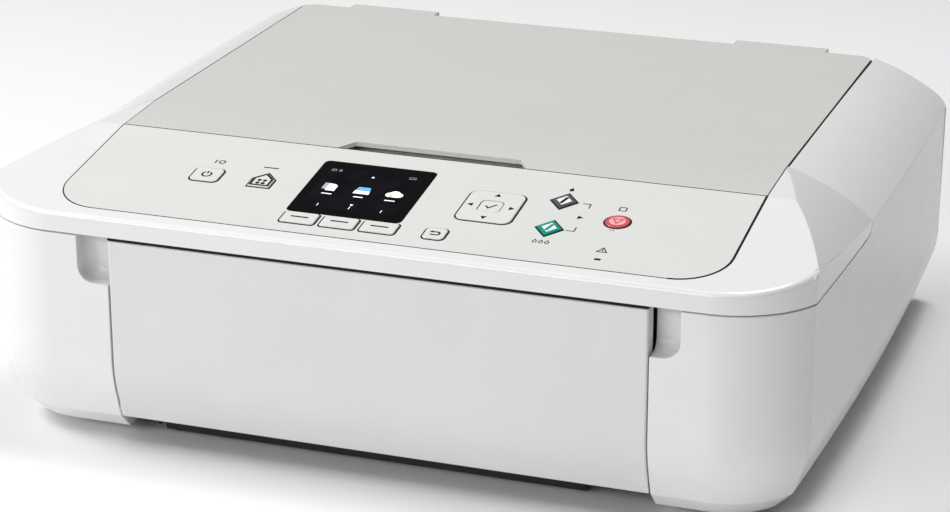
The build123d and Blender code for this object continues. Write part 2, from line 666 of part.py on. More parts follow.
# ---------------------------------------------------------------------------
# Base, inner frame and rear
# ---------------------------------------------------------------------------
BAY_LEFT = PAPER_X - CASSETTE_HALF_W - 0.6
BAY_RIGHT = PAPER_X + CASSETTE_HALF_W + 0.6
MOUTH_X = (-122.0, 103.0)
MOUTH_Z = (34.0, 104.0)
REAR_DOOR_X = (-128.0, 109.0)
REAR_DOOR_Z = (22.0, 104.0)
REAR_DOOR_SWING = 2.7


def make_base():
    plates = box(-BASE_HALF_W, BAY_LEFT - 2, *BASE_Y, BASE_Z, BASE_Z + BASE_THICK)
    plates += box(BAY_RIGHT + 2, BASE_HALF_W, *BASE_Y, BASE_Z, BASE_Z + BASE_THICK)
    for x0, x1 in ((BAY_LEFT - 2, BAY_LEFT), (BAY_RIGHT, BAY_RIGHT + 2)):
        plates += box(x0, x1, -160, 158, BASE_Z, DECK_Z + 2.5)
    deck = box(BAY_LEFT - 2, BAY_RIGHT + 2, -160, 150, DECK_Z, DECK_Z + 2.5)
    deck -= box(PAPER_X - 22, PAPER_X + 22, 78, 122, DECK_Z - 1, DECK_Z + 4)
    deck -= box(PAPER_X - 110, PAPER_X + 110, 128, 151, DECK_Z - 1, DECK_Z + 4)
    base = plates + deck
    base += box(BAY_LEFT - 2, BAY_RIGHT + 2, 156, 158, BASE_Z, DECK_Z + 2.5)
    sill = [(156, BASE_Z), (166.2, BASE_Z), (175.8, 18.6), (173.2, 18.6)]
    sill += [(165, BASE_Z + BASE_THICK), (156, BASE_Z + BASE_THICK)]
    base += slab_yz(sill, -151.4, 151.4)
    for x in (PAPER_X - 36, PAPER_X + 33):
        post = box(x, x + 3, PICKUP_PIVOT[0] - 5, PICKUP_PIVOT[0] + 5, DECK_Z + 2, PICKUP_PIVOT[1] + 5)
        base += post - bar_x(x - 1, x + 4, *PICKUP_PIVOT, 3 + RUNNING_GAP)
    for x in (123, 190):
        for y in (76, 146):
            base += bar_z(x, y, BASE_Z + 1, BOARD_Z, 3)
    for x in (-190, -140):
        for y in (80, 138):
            base += bar_z(x, y, BASE_Z + 1, SUPPLY_Z[0], 4)
    base += box(BAY_LEFT, BAY_LEFT + 3, -150, 150, BASE_Z, LEDGE_Z - 0.4)
    base += box(BAY_RIGHT - 3, BAY_RIGHT, -150, 150, BASE_Z, LEDGE_Z - 0.4)

    feet = None
    for x in (-FOOT_X, FOOT_X):
        for y in FOOT_Y:
            foot = bar_z(x, y, 0, BASE_Z, FOOT_R)
            foot = chamfer(foot.edges().sort_by(Axis.Z)[0], 1)
            feet = foot if feet is None else feet + foot
    return {"base_chassis": base, "feet": feet}


def make_inner_frame():
    plate_z = (113.0, 115.6)
    half_plan = envelope_half(WALL + 0.5, True)
    plate = both_sides(half_plan & box(-1, 240, -200, 200, *plate_z))
    plate -= box(-206, 206, -46, 63.5, 100, 130)
    plate -= box(-168, 168, -190, -139.6, 100, 130)
    for side in (-1, 1):
        plate -= box(side * HINGE_X - 6, side * HINGE_X + 6, 158, 174, 100, 130)
    x0, x1 = COVER_LEFT_X - COVER_GAP + 0.1, COVER_RIGHT_X + COVER_GAP - 0.1
    plate += box(x0, x1, -163, -139, *plate_z)
    front = box(x0, x1, -163, -160.5, DECK_Z + 2.5, plate_z[0])
    front -= box(*MOUTH_X, -170, -150, *MOUTH_Z)
    frame = plate + front
    frame += box(MOUTH_X[0], MOUTH_X[1], -160.5, -34, MOUTH_Z[0] - 2, MOUTH_Z[0])
    for x in (MOUTH_X[0] - 2, MOUTH_X[1]):
        frame += box(x, x + 2, -160.5, -46, MOUTH_Z[0] - 2, plate_z[0])
    for k in range(7):
        x = PAPER_X - 90 + 30 * k
        frame += box(x - 0.8, x + 0.8, -155, -36, MOUTH_Z[0], MOUTH_Z[0] + 2)
    return {"inner_frame": frame}


def make_rear():
    x0, x1 = -151.6, 151.6
    y0, y1 = REAR_Y - WALL, REAR_Y
    panel = box(x0, x1, y0, y1, 19, BODY_TOP_Z - 1.6)
    panel -= box(REAR_DOOR_X[0], REAR_DOOR_X[1], y0 - 5, y1 + 5, REAR_DOOR_Z[0], REAR_DOOR_Z[1])
    pin_z = REAR_DOOR_Z[0] + REAR_DOOR_SWING + 3.3
    pin_y = REAR_Y - 4.5
    for x, reach in ((REAR_DOOR_X[0], -4), (REAR_DOOR_X[1], 4)):
        low, high = sorted((x, x + reach))
        lug = box(low, high, pin_y - 4, y0, pin_z - 4, pin_z + 4)
        lug += bar_x(low, high, pin_y, pin_z, 4)
        panel += lug - bar_x(low - 1, high + 1, pin_y, pin_z, 1.8 + RUNNING_GAP)
    for z in range(34, 100, 8):
        panel -= box(118, 145, y0 - 1, y1 + 1, z, z + 2.5)

    gap = 0.7
    dx0, dx1 = REAR_DOOR_X[0] + gap, REAR_DOOR_X[1] - gap
    door = box(dx0, dx1, y0, y1, REAR_DOOR_Z[0] + REAR_DOOR_SWING, REAR_DOOR_Z[1] - gap)
    for k in range(13):
        x = PAPER_X - 102 + 17 * k
        rib = slab_yz([(y0, 40), (y0 - 9, 44), (y0 - 13, 60), (y0 - 9, 82), (y0, 96)], x - 0.8, x + 0.8)
        door += rib
    grip = box(PAPER_X - 30, PAPER_X + 30, y1 - 1.4, y1 + 1, 88, 98)
    door -= grip
    for low, high in ((dx0, dx0 + 6), (dx1 - 6, dx1)):
        door += box(low, high, pin_y, y0, pin_z - 3, pin_z + 3) + bar_x(low, high, pin_y, pin_z, 3)
    door += bar_x(dx0 - 3.4, dx0 + 2, pin_y, pin_z, 1.8)
    door += bar_x(dx1 - 2, dx1 + 3.4, pin_y, pin_z, 1.8)
    door += box(PAPER_X - 12, PAPER_X + 12, y0 - 4, y0, REAR_DOOR_Z[1] - 4, REAR_DOOR_Z[1] - gap)

    brackets = None
    for side in (-1, 1):
        y, z = SCANNER_AXIS
        low, high = sorted((side * (HINGE_X - 3), side * (HINGE_X + 3)))
        ear = box(low, high, y - 5, y + 5, 60, z) + bar_x(low, high, y, z, 5)
        ear -= bar_x(low - 1, high + 1, y, z, 2.5 + RUNNING_GAP)
        ear += box(low - 4, high + 4, y0 - 2.4, y0, 60, 100)
        ear += box(low, high, y, y0, 60, 100)
        brackets = ear if brackets is None else brackets + ear

    mx0, mx1, mz0, mz1 = INLET_MOUTH
    inlet = box(-mx1 - 2.5, -mx0 + 2.5, y0 - 24, y0, mz0 - 2.5, mz1 + 2.5)
    inlet -= box(-mx1, -mx0, y0 - 16, y0 + 1, mz0, mz1)
    for dx in (-4.5, 4.5):
        inlet += bar_y(-(mx0 + mx1) / 2 + dx, y0 - 17, y0 - 5, (mz0 + mz1) / 2, 1.2)
    ux0, ux1, uz0, uz1 = USB_MOUTH
    usb = box(ux0 - 2, ux1 + 2, y0 - 14, y0, uz0 - 2, uz1 + 2)
    usb -= box(ux0, ux1, y0 - 10, y0 + 1, uz0, uz1)
    usb += box(ux0 + 3, ux1 - 3, y0 - 11, y0 - 3, uz0 + 5.8, uz0 + 7.6)
    return {"rear_panel": panel, "rear_cover": door, "hinge_brackets": brackets,
            "power_inlet": inlet, "usb_port": usb}


# ---------------------------------------------------------------------------
# Cassette and its guides
# ---------------------------------------------------------------------------
GUIDE_HALF_GAP = 108.6
GUIDE_Y = (-60.0, 0.0)


def make_cassette():
    x0, x1 = PAPER_X - CASSETTE_HALF_W, PAPER_X + CASSETTE_HALF_W
    low, top = CASSETTE_BOTTOM_Z, CASSETTE_TOP_Z
    tray = box(x0 + 3, x1 - 3, CASSETTE_FRONT_Y, CASSETTE_REAR_Y, low, top)
    tray -= box(x0 + 5, x1 - 5, CASSETTE_FRONT_Y + 3, CASSETTE_REAR_Y - 2, low + 1.5, top + 1)
    for side in (x0, x1 - 3):
        tray += box(side, side + 3, -148, 148, LEDGE_Z, LEDGE_Z + 1.6)
    tray += box(x0, x1, CASSETTE_FRONT_Y, CASSETTE_FRONT_Y + 3, low, top)
    floor = low + 1.5
    for k in range(9):
        x = PAPER_X - 88 + 22 * k
        tray += box(x - 0.6, x + 0.6, CASSETTE_FRONT_Y + 8, 60, floor, floor + 0.6)

    half_gap = GUIDE_HALF_GAP
    guides = []
    for rack_y in (-40, -26):
        guide = box(-half_gap - 1.8, -half_gap, *GUIDE_Y, floor + 0.9, top - 0.6)
        guide += box(-half_gap, -40, rack_y, rack_y + 6, floor + 0.9, floor + 2.1)
        guide += box(-half_gap, -half_gap + 16, *GUIDE_Y, floor + 0.9, floor + 2.1)
        guides.append(guide)
    left = Pos(PAPER_X, 0, 0) * guides[0]
    right = Pos(PAPER_X, 0, 0) * mirror(guides[1], about=Plane.YZ)
    length = box(PAPER_X - 16, PAPER_X + 16, 144, 145.6, floor + 0.9, top - 0.6)
    length += box(PAPER_X - 10, PAPER_X + 10, 128, 144, floor + 0.9, floor + 2.1)
    return {"cassette": tray, "paper_guide_left": left, "paper_guide_right": right, "length_guide": length}


# ---------------------------------------------------------------------------
# Print mechanism
# ---------------------------------------------------------------------------
FRAME_X = (-183.0, 209.0)
SHEET_STEEL = 1.2
PLATE_Y = 61.8
CARRIAGE_HOME_X = 155.0
CARRIAGE_HALF_W = 48.0
CARRIAGE_Y = (-30.0, 48.0)
CARRIAGE_Z = (71.0, 109.0)
TANK_WIDTHS = (18.0, 13.0, 13.0, 13.0, 13.0)
PURGE_X = (116.0, 204.0)
PURGE_Y = (-36.0, 46.0)
PURGE_Z = (22.0, 46.0)
DRIVE_X = 196.0
IDLER_X = -172.0
ROLLER_X = (-118.0, 99.0)
FEED = (42.0, 53.0)
FEED_R = 7.0
OUTPUT = (-22.0, 54.0)
OUTPUT_R = 6.0
GEAR_X = -189.0
GEAR_W = 4.0
GEAR_SLACK = 0.15
FEED_TEETH, IDLER_TEETH, OUTPUT_TEETH, PINION_TEETH = 40, 32, 24, 12
MOTOR_ANGLE = math.radians(-120)
PICKUP_PIVOT = (62.0, 42.0)
PICKUP_AXLE = (100.0, 24.6)
PICKUP_R = 10.0


def wheel_on_x(wheel, x, place):
    """Turns a wheel built about Z to lie about X at (y, z)."""
    return Plane(origin=(x, *place), x_dir=(0, 1, 0), z_dir=(1, 0, 0)) * wheel


def mesh_phase(phase, teeth, next_teeth, direction):
    """Phase of a gear that meshes with a gear of the given phase."""
    return direction + math.pi - (phase - direction) * teeth / next_teeth + math.pi / next_teeth


def gear_places():
    """Centres and phases of the feed gears, as name: (y, z, teeth, phase)."""
    reach_a = (FEED_TEETH + IDLER_TEETH) / 2 + GEAR_SLACK
    reach_b = (IDLER_TEETH + OUTPUT_TEETH) / 2 + GEAR_SLACK
    dy, dz = OUTPUT[0] - FEED[0], OUTPUT[1] - FEED[1]
    span = math.hypot(dy, dz)
    along = (span**2 + reach_a**2 - reach_b**2) / (2 * span)
    aside = math.sqrt(reach_a**2 - along**2)
    idler = (FEED[0] + (along * dy - aside * dz) / span, FEED[1] + (along * dz + aside * dy) / span)
    to_idler = math.atan2(idler[1] - FEED[1], idler[0] - FEED[0])
    to_output = math.atan2(OUTPUT[1] - idler[1], OUTPUT[0] - idler[0])
    idler_phase = mesh_phase(0, FEED_TEETH, IDLER_TEETH, to_idler)
    output_phase = mesh_phase(idler_phase, IDLER_TEETH, OUTPUT_TEETH, to_output)
    reach_p = (FEED_TEETH + PINION_TEETH) / 2 + GEAR_SLACK
    pinion = (FEED[0] + reach_p * math.cos(MOTOR_ANGLE), FEED[1] + reach_p * math.sin(MOTOR_ANGLE))
    pinion_phase = mesh_phase(0, FEED_TEETH, PINION_TEETH, MOTOR_ANGLE)
    return {"feed": (*FEED, FEED_TEETH, 0), "idler": (*idler, IDLER_TEETH, idler_phase),
            "output": (*OUTPUT, OUTPUT_TEETH, output_phase), "pinion": (*pinion, PINION_TEETH, pinion_phase)}


def gear_at(place, bore):
    y, z, teeth, phase = place
    return wheel_on_x(toothed_wheel(teeth, 1.0, GEAR_W, bore, phase), GEAR_X, (y, z))


def make_feed():
    places = gear_places()
    bracket_x = 110.0
    x0, x1 = ROLLER_X
    feed = bar_x(GEAR_X, bracket_x + SHEET_STEEL, *FEED, 4) + bar_x(x0, x1, *FEED, FEED_R)
    feed += gear_at(places["feed"], 3.9)
    output = bar_x(GEAR_X, bracket_x + SHEET_STEEL, *OUTPUT, 3)
    for k in range(9):
        x = PAPER_X - 100 + 25 * k
        output += bar_x(x - 6, x + 6, *OUTPUT, OUTPUT_R)
    output += gear_at(places["output"], 2.9)
    iy, iz = places["idler"][:2]
    idler = gear_at(places["idler"], 2.5 + RUNNING_GAP)
    py, pz = places["pinion"][:2]
    pinion = gear_at(places["pinion"], 1.4) + bar_x(GEAR_X, FRAME_X[0] + 10, py, pz, 1.5)

    back = box(*FRAME_X, PLATE_Y, PLATE_Y + SHEET_STEEL, 40, 110)
    back -= box(-124, 106, PLATE_Y - 1, PLATE_Y + 3, 30, 66)
    back -= bar_y(DRIVE_X, PLATE_Y - 1, PLATE_Y + 3, BELT_Z, 3)
    left = box(FRAME_X[0], FRAME_X[0] + SHEET_STEEL, -40, PLATE_Y, BASE_Z + 2.4, 106)
    right = box(FRAME_X[1] - SHEET_STEEL, FRAME_X[1], -40, PLATE_Y, BASE_Z + 14, 106)
    bracket = box(bracket_x, bracket_x + SHEET_STEEL, -30, 50, DECK_Z + 2.5, 58)
    frame = back + left + right + bracket
    for x in (FRAME_X[0] - 5, bracket_x - 5):
        frame -= bar_x(x, x + 10, *FEED, 4 + RUNNING_GAP)
        frame -= bar_x(x, x + 10, *OUTPUT, 3 + RUNNING_GAP)
    frame -= bar_x(FRAME_X[0] - 5, FRAME_X[0] + 5, py, pz, 2.5)
    frame += bar_x(GEAR_X + 0.3, FRAME_X[0], iy, iz, 2.5)

    motor = bar_x(FRAME_X[0] + SHEET_STEEL, FRAME_X[0] + 32, py, pz, 12)
    motor -= bar_x(FRAME_X[0], FRAME_X[0] + 12, py, pz, 1.5 + RUNNING_GAP)
    drive_y = PLATE_Y + SHEET_STEEL
    drive_motor = bar_y(DRIVE_X, drive_y, drive_y + 30, BELT_Z, 12)
    drive_motor -= bar_y(DRIVE_X, drive_y - 1, drive_y + 12, BELT_Z, 1.5 + RUNNING_GAP)
    return {"feed_roller": feed, "output_roller": output, "idler_gear": idler, "feed_pinion": pinion,
            "mechanism_frame": frame, "motors": motor + drive_motor}


def belt_loop(r, half_width, grow=0.0):
    length = DRIVE_X - IDLER_X
    face = Pos((DRIVE_X + IDLER_X) / 2, BELT_Z) * SlotCenterToCenter(length, 2 * r)
    y1 = BELT_Y + half_width + grow
    return extrude(Plane.XZ.offset(-y1) * face, amount=2 * (half_width + grow))


def pulley(x):
    wheel = toothed_wheel(18, 0.6, 5.0, 1.4)
    body = Plane(origin=(x, BELT_Y + 2.5, BELT_Z), x_dir=(1, 0, 0), z_dir=(0, -1, 0)) * wheel
    for y in (BELT_Y - 3.7, BELT_Y + 2.8):
        body += bar_y(x, y, y + 0.7, BELT_Z, 7.9) - bar_y(x, y - 1, y + 2, BELT_Z, 1.4)
    body += bar_y(x, BELT_Y + 2.5, BELT_Y + 2.8, BELT_Z, 4) - bar_y(x, BELT_Y, BELT_Y + 4, BELT_Z, 1.4)
    return body + bar_y(x, BELT_Y - 3, BELT_Y - 2.5, BELT_Z, 4) - bar_y(x, BELT_Y - 4, BELT_Y, BELT_Z, 1.4)


def make_carriage():
    x0, x1 = CARRIAGE_HOME_X - CARRIAGE_HALF_W, CARRIAGE_HOME_X + CARRIAGE_HALF_W
    y0, y1 = CARRIAGE_Y
    z0, z1 = CARRIAGE_Z
    tub = box(x0, x1, y0, y1, z0, z1) - box(x0 + 2, x1 - 2, y0 + 2, y1 - 2, z0 + 3, z1 + 3)
    tub -= box(x0 + 2, x1 - 2, y0 - 1, y0 + 10, 92, z1 + 3)
    gap = 3.4
    tanks = None
    x = x0 + 3
    for width in TANK_WIDTHS:
        tank = box(x, x + width, -27, 44, 74.3, 104)
        tank -= box(x - 1, x + width + 1, -28, -12, 96, 105)
        tank += box(x + 2, x + width - 2, -29.5, -24, 92.3, 98)
        tank += box(x + 1.5, x + width - 1.5, 0, 38, 104, 105)
        tanks = tank if tanks is None else tanks + tank
        x += width + gap
        if x < x1 - 5:
            tub += box(x - gap / 2 - 0.5, x - gap / 2 + 0.5, y0 + 2, y1 - 2, z0 + 3, 90)
    clamp_x = CARRIAGE_HOME_X
    strand = BELT_Z - PULLEY_R - 0.75
    for low, high in ((strand - 3, strand - 0.8), (strand + 0.8, strand + 3)):
        tub += box(clamp_x - 5, clamp_x + 5, y1, BELT_Y + 2.4, low, high)
    for side in (-34, 34):
        tub += box(clamp_x + side - 9, clamp_x + side + 9, y1 - 2, 58, 106.4, z1)
        tub += box(clamp_x + side - 9, clamp_x + side + 9, y1, 49.7, z0, 80)
    head = box(clamp_x - 27, clamp_x + 27, -2, 28, 61.9, 71)
    head += box(clamp_x - 20, clamp_x + 20, 3, 23, 61.5, 62)

    fx0, fx1 = FRAME_X[0] + SHEET_STEEL, FRAME_X[1] - SHEET_STEEL
    rail = box(fx0, fx1, PLATE_Y - SHEET_STEEL, PLATE_Y, 68, 106)
    rail += box(fx0, fx1, 52, PLATE_Y, 106 - SHEET_STEEL, 106)
    rail += box(fx0, fx1, 50, PLATE_Y, 68, 68 + SHEET_STEEL)
    rail -= bar_y(DRIVE_X, PLATE_Y - 3, PLATE_Y + 3, BELT_Z, 3)
    rail += bar_y(IDLER_X, BELT_Y - 4, PLATE_Y - SHEET_STEEL, BELT_Z, 1.34)
    drive = pulley(DRIVE_X) + bar_y(DRIVE_X, BELT_Y - 3.7, PLATE_Y + 10, BELT_Z, 1.5)
    belt = belt_loop(PULLEY_R + 1.2, 2.4) - belt_loop(PULLEY_R + 0.3, 2.4, 1)
    return {"carriage": tub, "print_head": head, "ink_tanks": tanks, "carriage_rail": rail,
            "drive_pulley": drive, "idler_pulley": pulley(IDLER_X), "timing_belt": belt}


def make_print_zone():
    x0, x1 = ROLLER_X
    platen = box(x0 - 2, x1 + 2, -13, 32, 52, 59)
    platen -= box(x0 + 4, x1 - 4, 4, 22, 56, 60)
    for k in range(22):
        x = x0 + 5 + 10 * k
        platen += box(x - 0.6, x + 0.6, -12, 31, 56, 59.6)
    for x in (x0 + 12, x1 - 12):
        platen += box(x - 4, x + 4, -5, 25, DECK_Z + 2.5, 52)
    spurs = box(x0, x1, -27, -17, 67, 69.5)
    for k in range(9):
        x = PAPER_X - 100 + 25 * k
        spurs += bar_x(x - 0.5, x + 0.5, OUTPUT[0], 65.6, 5.0)
    spurs += box(MOUTH_X[0] - 2, MOUTH_X[1] + 2, -27, -17, 67, 69.5)
    for x in (MOUTH_X[0] - 2, MOUTH_X[1]):
        spurs += box(x, x + 2, -46, -17, 60, 69.5)

    home = CARRIAGE_HOME_X
    purge = box(*PURGE_X, *PURGE_Y, *PURGE_Z)
    purge -= box(PURGE_X[0] + 4, PURGE_X[1] - 4, PURGE_Y[0] + 4, PURGE_Y[1] - 4, PURGE_Z[0] + 4, 50)
    purge += box(home - 26, home + 26, -3, 29, 26, 56)
    cap = box(home - 22, home + 22, 1, 25, 56, 61.2) - box(home - 20, home + 20, 3, 23, 58, 62)
    purge += cap + box(home - 1, home + 1, 3, 23, 56, 61.2)
    purge += box(home - 24, home + 24, 33, 36, 26, 60) - box(home - 20, home + 20, 30, 38, 30, 50)
    for x in (121, 190):
        for y in (-30, 40):
            purge += bar_z(x, y, BASE_Z + 2.4, 24, 4)
    return {"paper_platen": platen, "spur_holder": spurs, "maintenance_unit": purge}


def make_pickup():
    py, pz = PICKUP_PIVOT
    ay, az = PICKUP_AXLE
    cheek = None
    for x in (PAPER_X - 17.5, PAPER_X + 15.5):
        side = bar_x(x, x + 2, py, pz, 5) + bar_x(x, x + 2, ay, az, 5)
        reach = math.hypot(ay - py, az - pz)
        tilt = math.degrees(math.atan2(az - pz, ay - py))
        link = Pos(x + 1, (py + ay) / 2, (pz + az) / 2) * Rot(tilt, 0, 0) * Box(2, reach, 9)
        side = side + link - bar_x(x - 1, x + 3, ay, az, 2 + RUNNING_GAP)
        cheek = side if cheek is None else cheek + side
    arm = cheek + bar_x(PAPER_X - 37, PAPER_X + 37, py, pz, 3)
    arm += box(PAPER_X - 16, PAPER_X + 16, py + 6, py + 18, pz - 1, pz + 1)
    roller = bar_x(PAPER_X - 14.5, PAPER_X + 14.5, ay, az, PICKUP_R)
    roller += bar_x(PAPER_X - 18, PAPER_X + 18, ay, az, 2)
    return {"pickup_arm": arm, "pickup_roller": roller}


# Components on the circuit board, as (x, y, width, depth, height).
BOARD_CHIPS = [(140, 95, 18, 18, 2.4), (175, 120, 14, 10, 6), (130, 132, 10, 16, 10), (185, 88, 12, 8, 9)]
SCREW_X = 145.0
SCREW_HEAD_R = 3.2


def make_electrics():
    top = BOARD_Z + BOARD_THICK
    board = box(*BOARD_X, *BOARD_Y, BOARD_Z, top)
    for x, y, w, d, h in BOARD_CHIPS:
        board += box(x - w / 2, x + w / 2, y - d / 2, y + d / 2, top, top + h)
    supply = box(*SUPPLY_X, *SUPPLY_Y, *SUPPLY_Z)
    for k in range(8):
        x = SUPPLY_X[0] + 8 + 8 * k
        supply -= box(x, x + 3, SUPPLY_Y[0] + 6, SUPPLY_Y[1] - 6, SUPPLY_Z[1] - 1.5, SUPPLY_Z[1] + 1)
    screws = None
    for x in (-SCREW_X, SCREW_X):
        for z in (30, 96):
            head = bar_y(x, REAR_Y, REAR_Y + 1.8, z, SCREW_HEAD_R)
            head -= box(x - 2, x + 2, REAR_Y + 1, REAR_Y + 3, z - 0.4, z + 0.4)
            screws = head if screws is None else screws + head
        for y in (-138, 160):
            head = bar_z(x, y, BASE_Z - 1.8, BASE_Z, SCREW_HEAD_R)
            screws += head - box(x - 2, x + 2, y - 0.4, y + 0.4, BASE_Z - 3, BASE_Z - 1)
    return {"main_board": board, "power_supply": supply, "screws": screws}


nodes = {}
nodes |= make_housings()
nodes |= make_cover()
nodes["scanner_frame"] = make_scanner_frame()
nodes |= make_scanner_inside()
nodes |= make_lid()
nodes |= make_panel()
nodes |= make_base()
nodes |= make_inner_frame()
nodes |= make_rear()
nodes |= make_cassette()
nodes |= make_feed()
nodes |= make_carriage()
nodes |= make_print_zone()
nodes |= make_pickup()
nodes |= make_electrics()
for name, shape in nodes.items():
    export_step(shape, f"parts/{name}.step")
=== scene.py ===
import json
import math
import bmesh
import bpy
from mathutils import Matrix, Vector


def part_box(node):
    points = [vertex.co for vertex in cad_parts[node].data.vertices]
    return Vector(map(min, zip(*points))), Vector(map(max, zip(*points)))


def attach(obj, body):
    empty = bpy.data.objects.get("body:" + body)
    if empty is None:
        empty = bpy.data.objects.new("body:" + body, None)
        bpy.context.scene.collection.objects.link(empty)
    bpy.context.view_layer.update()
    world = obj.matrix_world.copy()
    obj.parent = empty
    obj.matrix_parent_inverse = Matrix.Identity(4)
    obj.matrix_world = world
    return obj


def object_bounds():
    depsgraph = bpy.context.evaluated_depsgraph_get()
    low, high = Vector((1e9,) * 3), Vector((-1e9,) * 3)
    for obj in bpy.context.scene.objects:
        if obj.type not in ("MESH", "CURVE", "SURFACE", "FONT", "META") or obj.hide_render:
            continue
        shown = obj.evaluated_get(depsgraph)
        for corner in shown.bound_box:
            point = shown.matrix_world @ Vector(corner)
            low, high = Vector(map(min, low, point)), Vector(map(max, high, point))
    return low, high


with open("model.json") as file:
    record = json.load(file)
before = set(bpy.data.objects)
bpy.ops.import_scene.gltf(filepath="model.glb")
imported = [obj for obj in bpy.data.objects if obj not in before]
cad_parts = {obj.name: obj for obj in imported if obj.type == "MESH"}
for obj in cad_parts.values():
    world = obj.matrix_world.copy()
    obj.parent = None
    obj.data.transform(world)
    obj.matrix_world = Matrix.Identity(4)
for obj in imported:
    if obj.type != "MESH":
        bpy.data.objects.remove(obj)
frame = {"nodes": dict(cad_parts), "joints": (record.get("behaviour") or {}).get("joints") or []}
cad_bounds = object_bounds()
nodes = frame["nodes"]
MM = 0.001

# ---------------------------------------------------------------------------
# Camera: where it looks, from how far, and its lens
# ---------------------------------------------------------------------------
CAMERA_AZIMUTH = math.radians(19.518)
CAMERA_ELEVATION = math.radians(20.332)
CAMERA_DISTANCE = 1.5264
CAMERA_LENS = 105.21
TARGET_OFFSET = (5.1 * MM, -31.9 * MM, 0.0)


def make_camera():
    low, high = cad_bounds
    target = (low + high) / 2 + Vector(TARGET_OFFSET)
    flat = math.cos(CAMERA_ELEVATION)
    back = Vector((math.sin(CAMERA_AZIMUTH) * flat, -math.cos(CAMERA_AZIMUTH) * flat,
                   math.sin(CAMERA_ELEVATION)))
    data = bpy.data.cameras.new("camera")
    data.lens = CAMERA_LENS
    data.sensor_width = 36.0
    data.clip_start = 0.05
    camera = bpy.data.objects.new("camera", data)
    camera.location = target + back * CAMERA_DISTANCE
    camera.rotation_mode = "QUATERNION"
    camera.rotation_quaternion = (-back).to_track_quat("-Z", "Y")
    bpy.context.scene.collection.objects.link(camera)
    bpy.context.scene.camera = camera


# Soft lights: place, aim and size in metres, then power in watts.
LIGHTS = {
    "key_light": ((-1.7, -0.5, 1.8), (0, 0, 0.08), (1.2, 1.0), 33),
    "front_light": ((-0.8, -2.2, 1.15), (0, -0.1, 0.05), (1.6, 0.6), 22),
    "top_light": ((0.35, 0.35, 2.2), (0, 0.1, 0.1), (0.8, 0.7), 25),
}
WORLD_STRENGTH = 0.13
FLOOR_REACH = 8.0


def area_light(name, place, aim, size, power):
    data = bpy.data.lights.new(name, "AREA")
    data.shape = "RECTANGLE"
    data.size, data.size_y = size
    data.energy = power
    lamp = bpy.data.objects.new(name, data)
    lamp.location = place
    direction = Vector(aim) - Vector(place)
    lamp.rotation_mode = "QUATERNION"
    lamp.rotation_quaternion = direction.to_track_quat("-Z", "Y")
    bpy.context.scene.collection.objects.link(lamp)


def make_studio():
    world = bpy.data.worlds.new("studio")
    world.use_nodes = True
    background = world.node_tree.nodes["Background"]
    background.inputs["Color"].default_value = (1.0, 1.0, 1.0, 1)
    background.inputs["Strength"].default_value = WORLD_STRENGTH
    bpy.context.scene.world = world
    bpy.context.scene.view_settings.view_transform = "Standard"
    for name, (place, aim, size, power) in LIGHTS.items():
        area_light(name, place, aim, size, power)
    mesh = bpy.data.meshes.new("floor")
    signs = ((-1, -1), (1, -1), (1, 1), (-1, 1))
    mesh.from_pydata([(sx * FLOOR_REACH, sy * FLOOR_REACH, 0) for sx, sy in signs], [], [(0, 1, 2, 3)])
    floor = bpy.data.objects.new("floor", mesh)
    bpy.context.scene.collection.objects.link(floor)
    mesh.materials.append(finish("floor_paper", (0.93, 0.93, 0.93), 0.75, tone=0.01, tone_scale=4))


# ---------------------------------------------------------------------------
# Materials. Scales are in features per metre.
# ---------------------------------------------------------------------------
# Depth of the fine grain, and how much finer the gloss varies than the tone.
COAT_ROUGHNESS = 0.06
GRAIN_DEPTH = 0.15 * MM
GLOSS_TO_TONE = 6


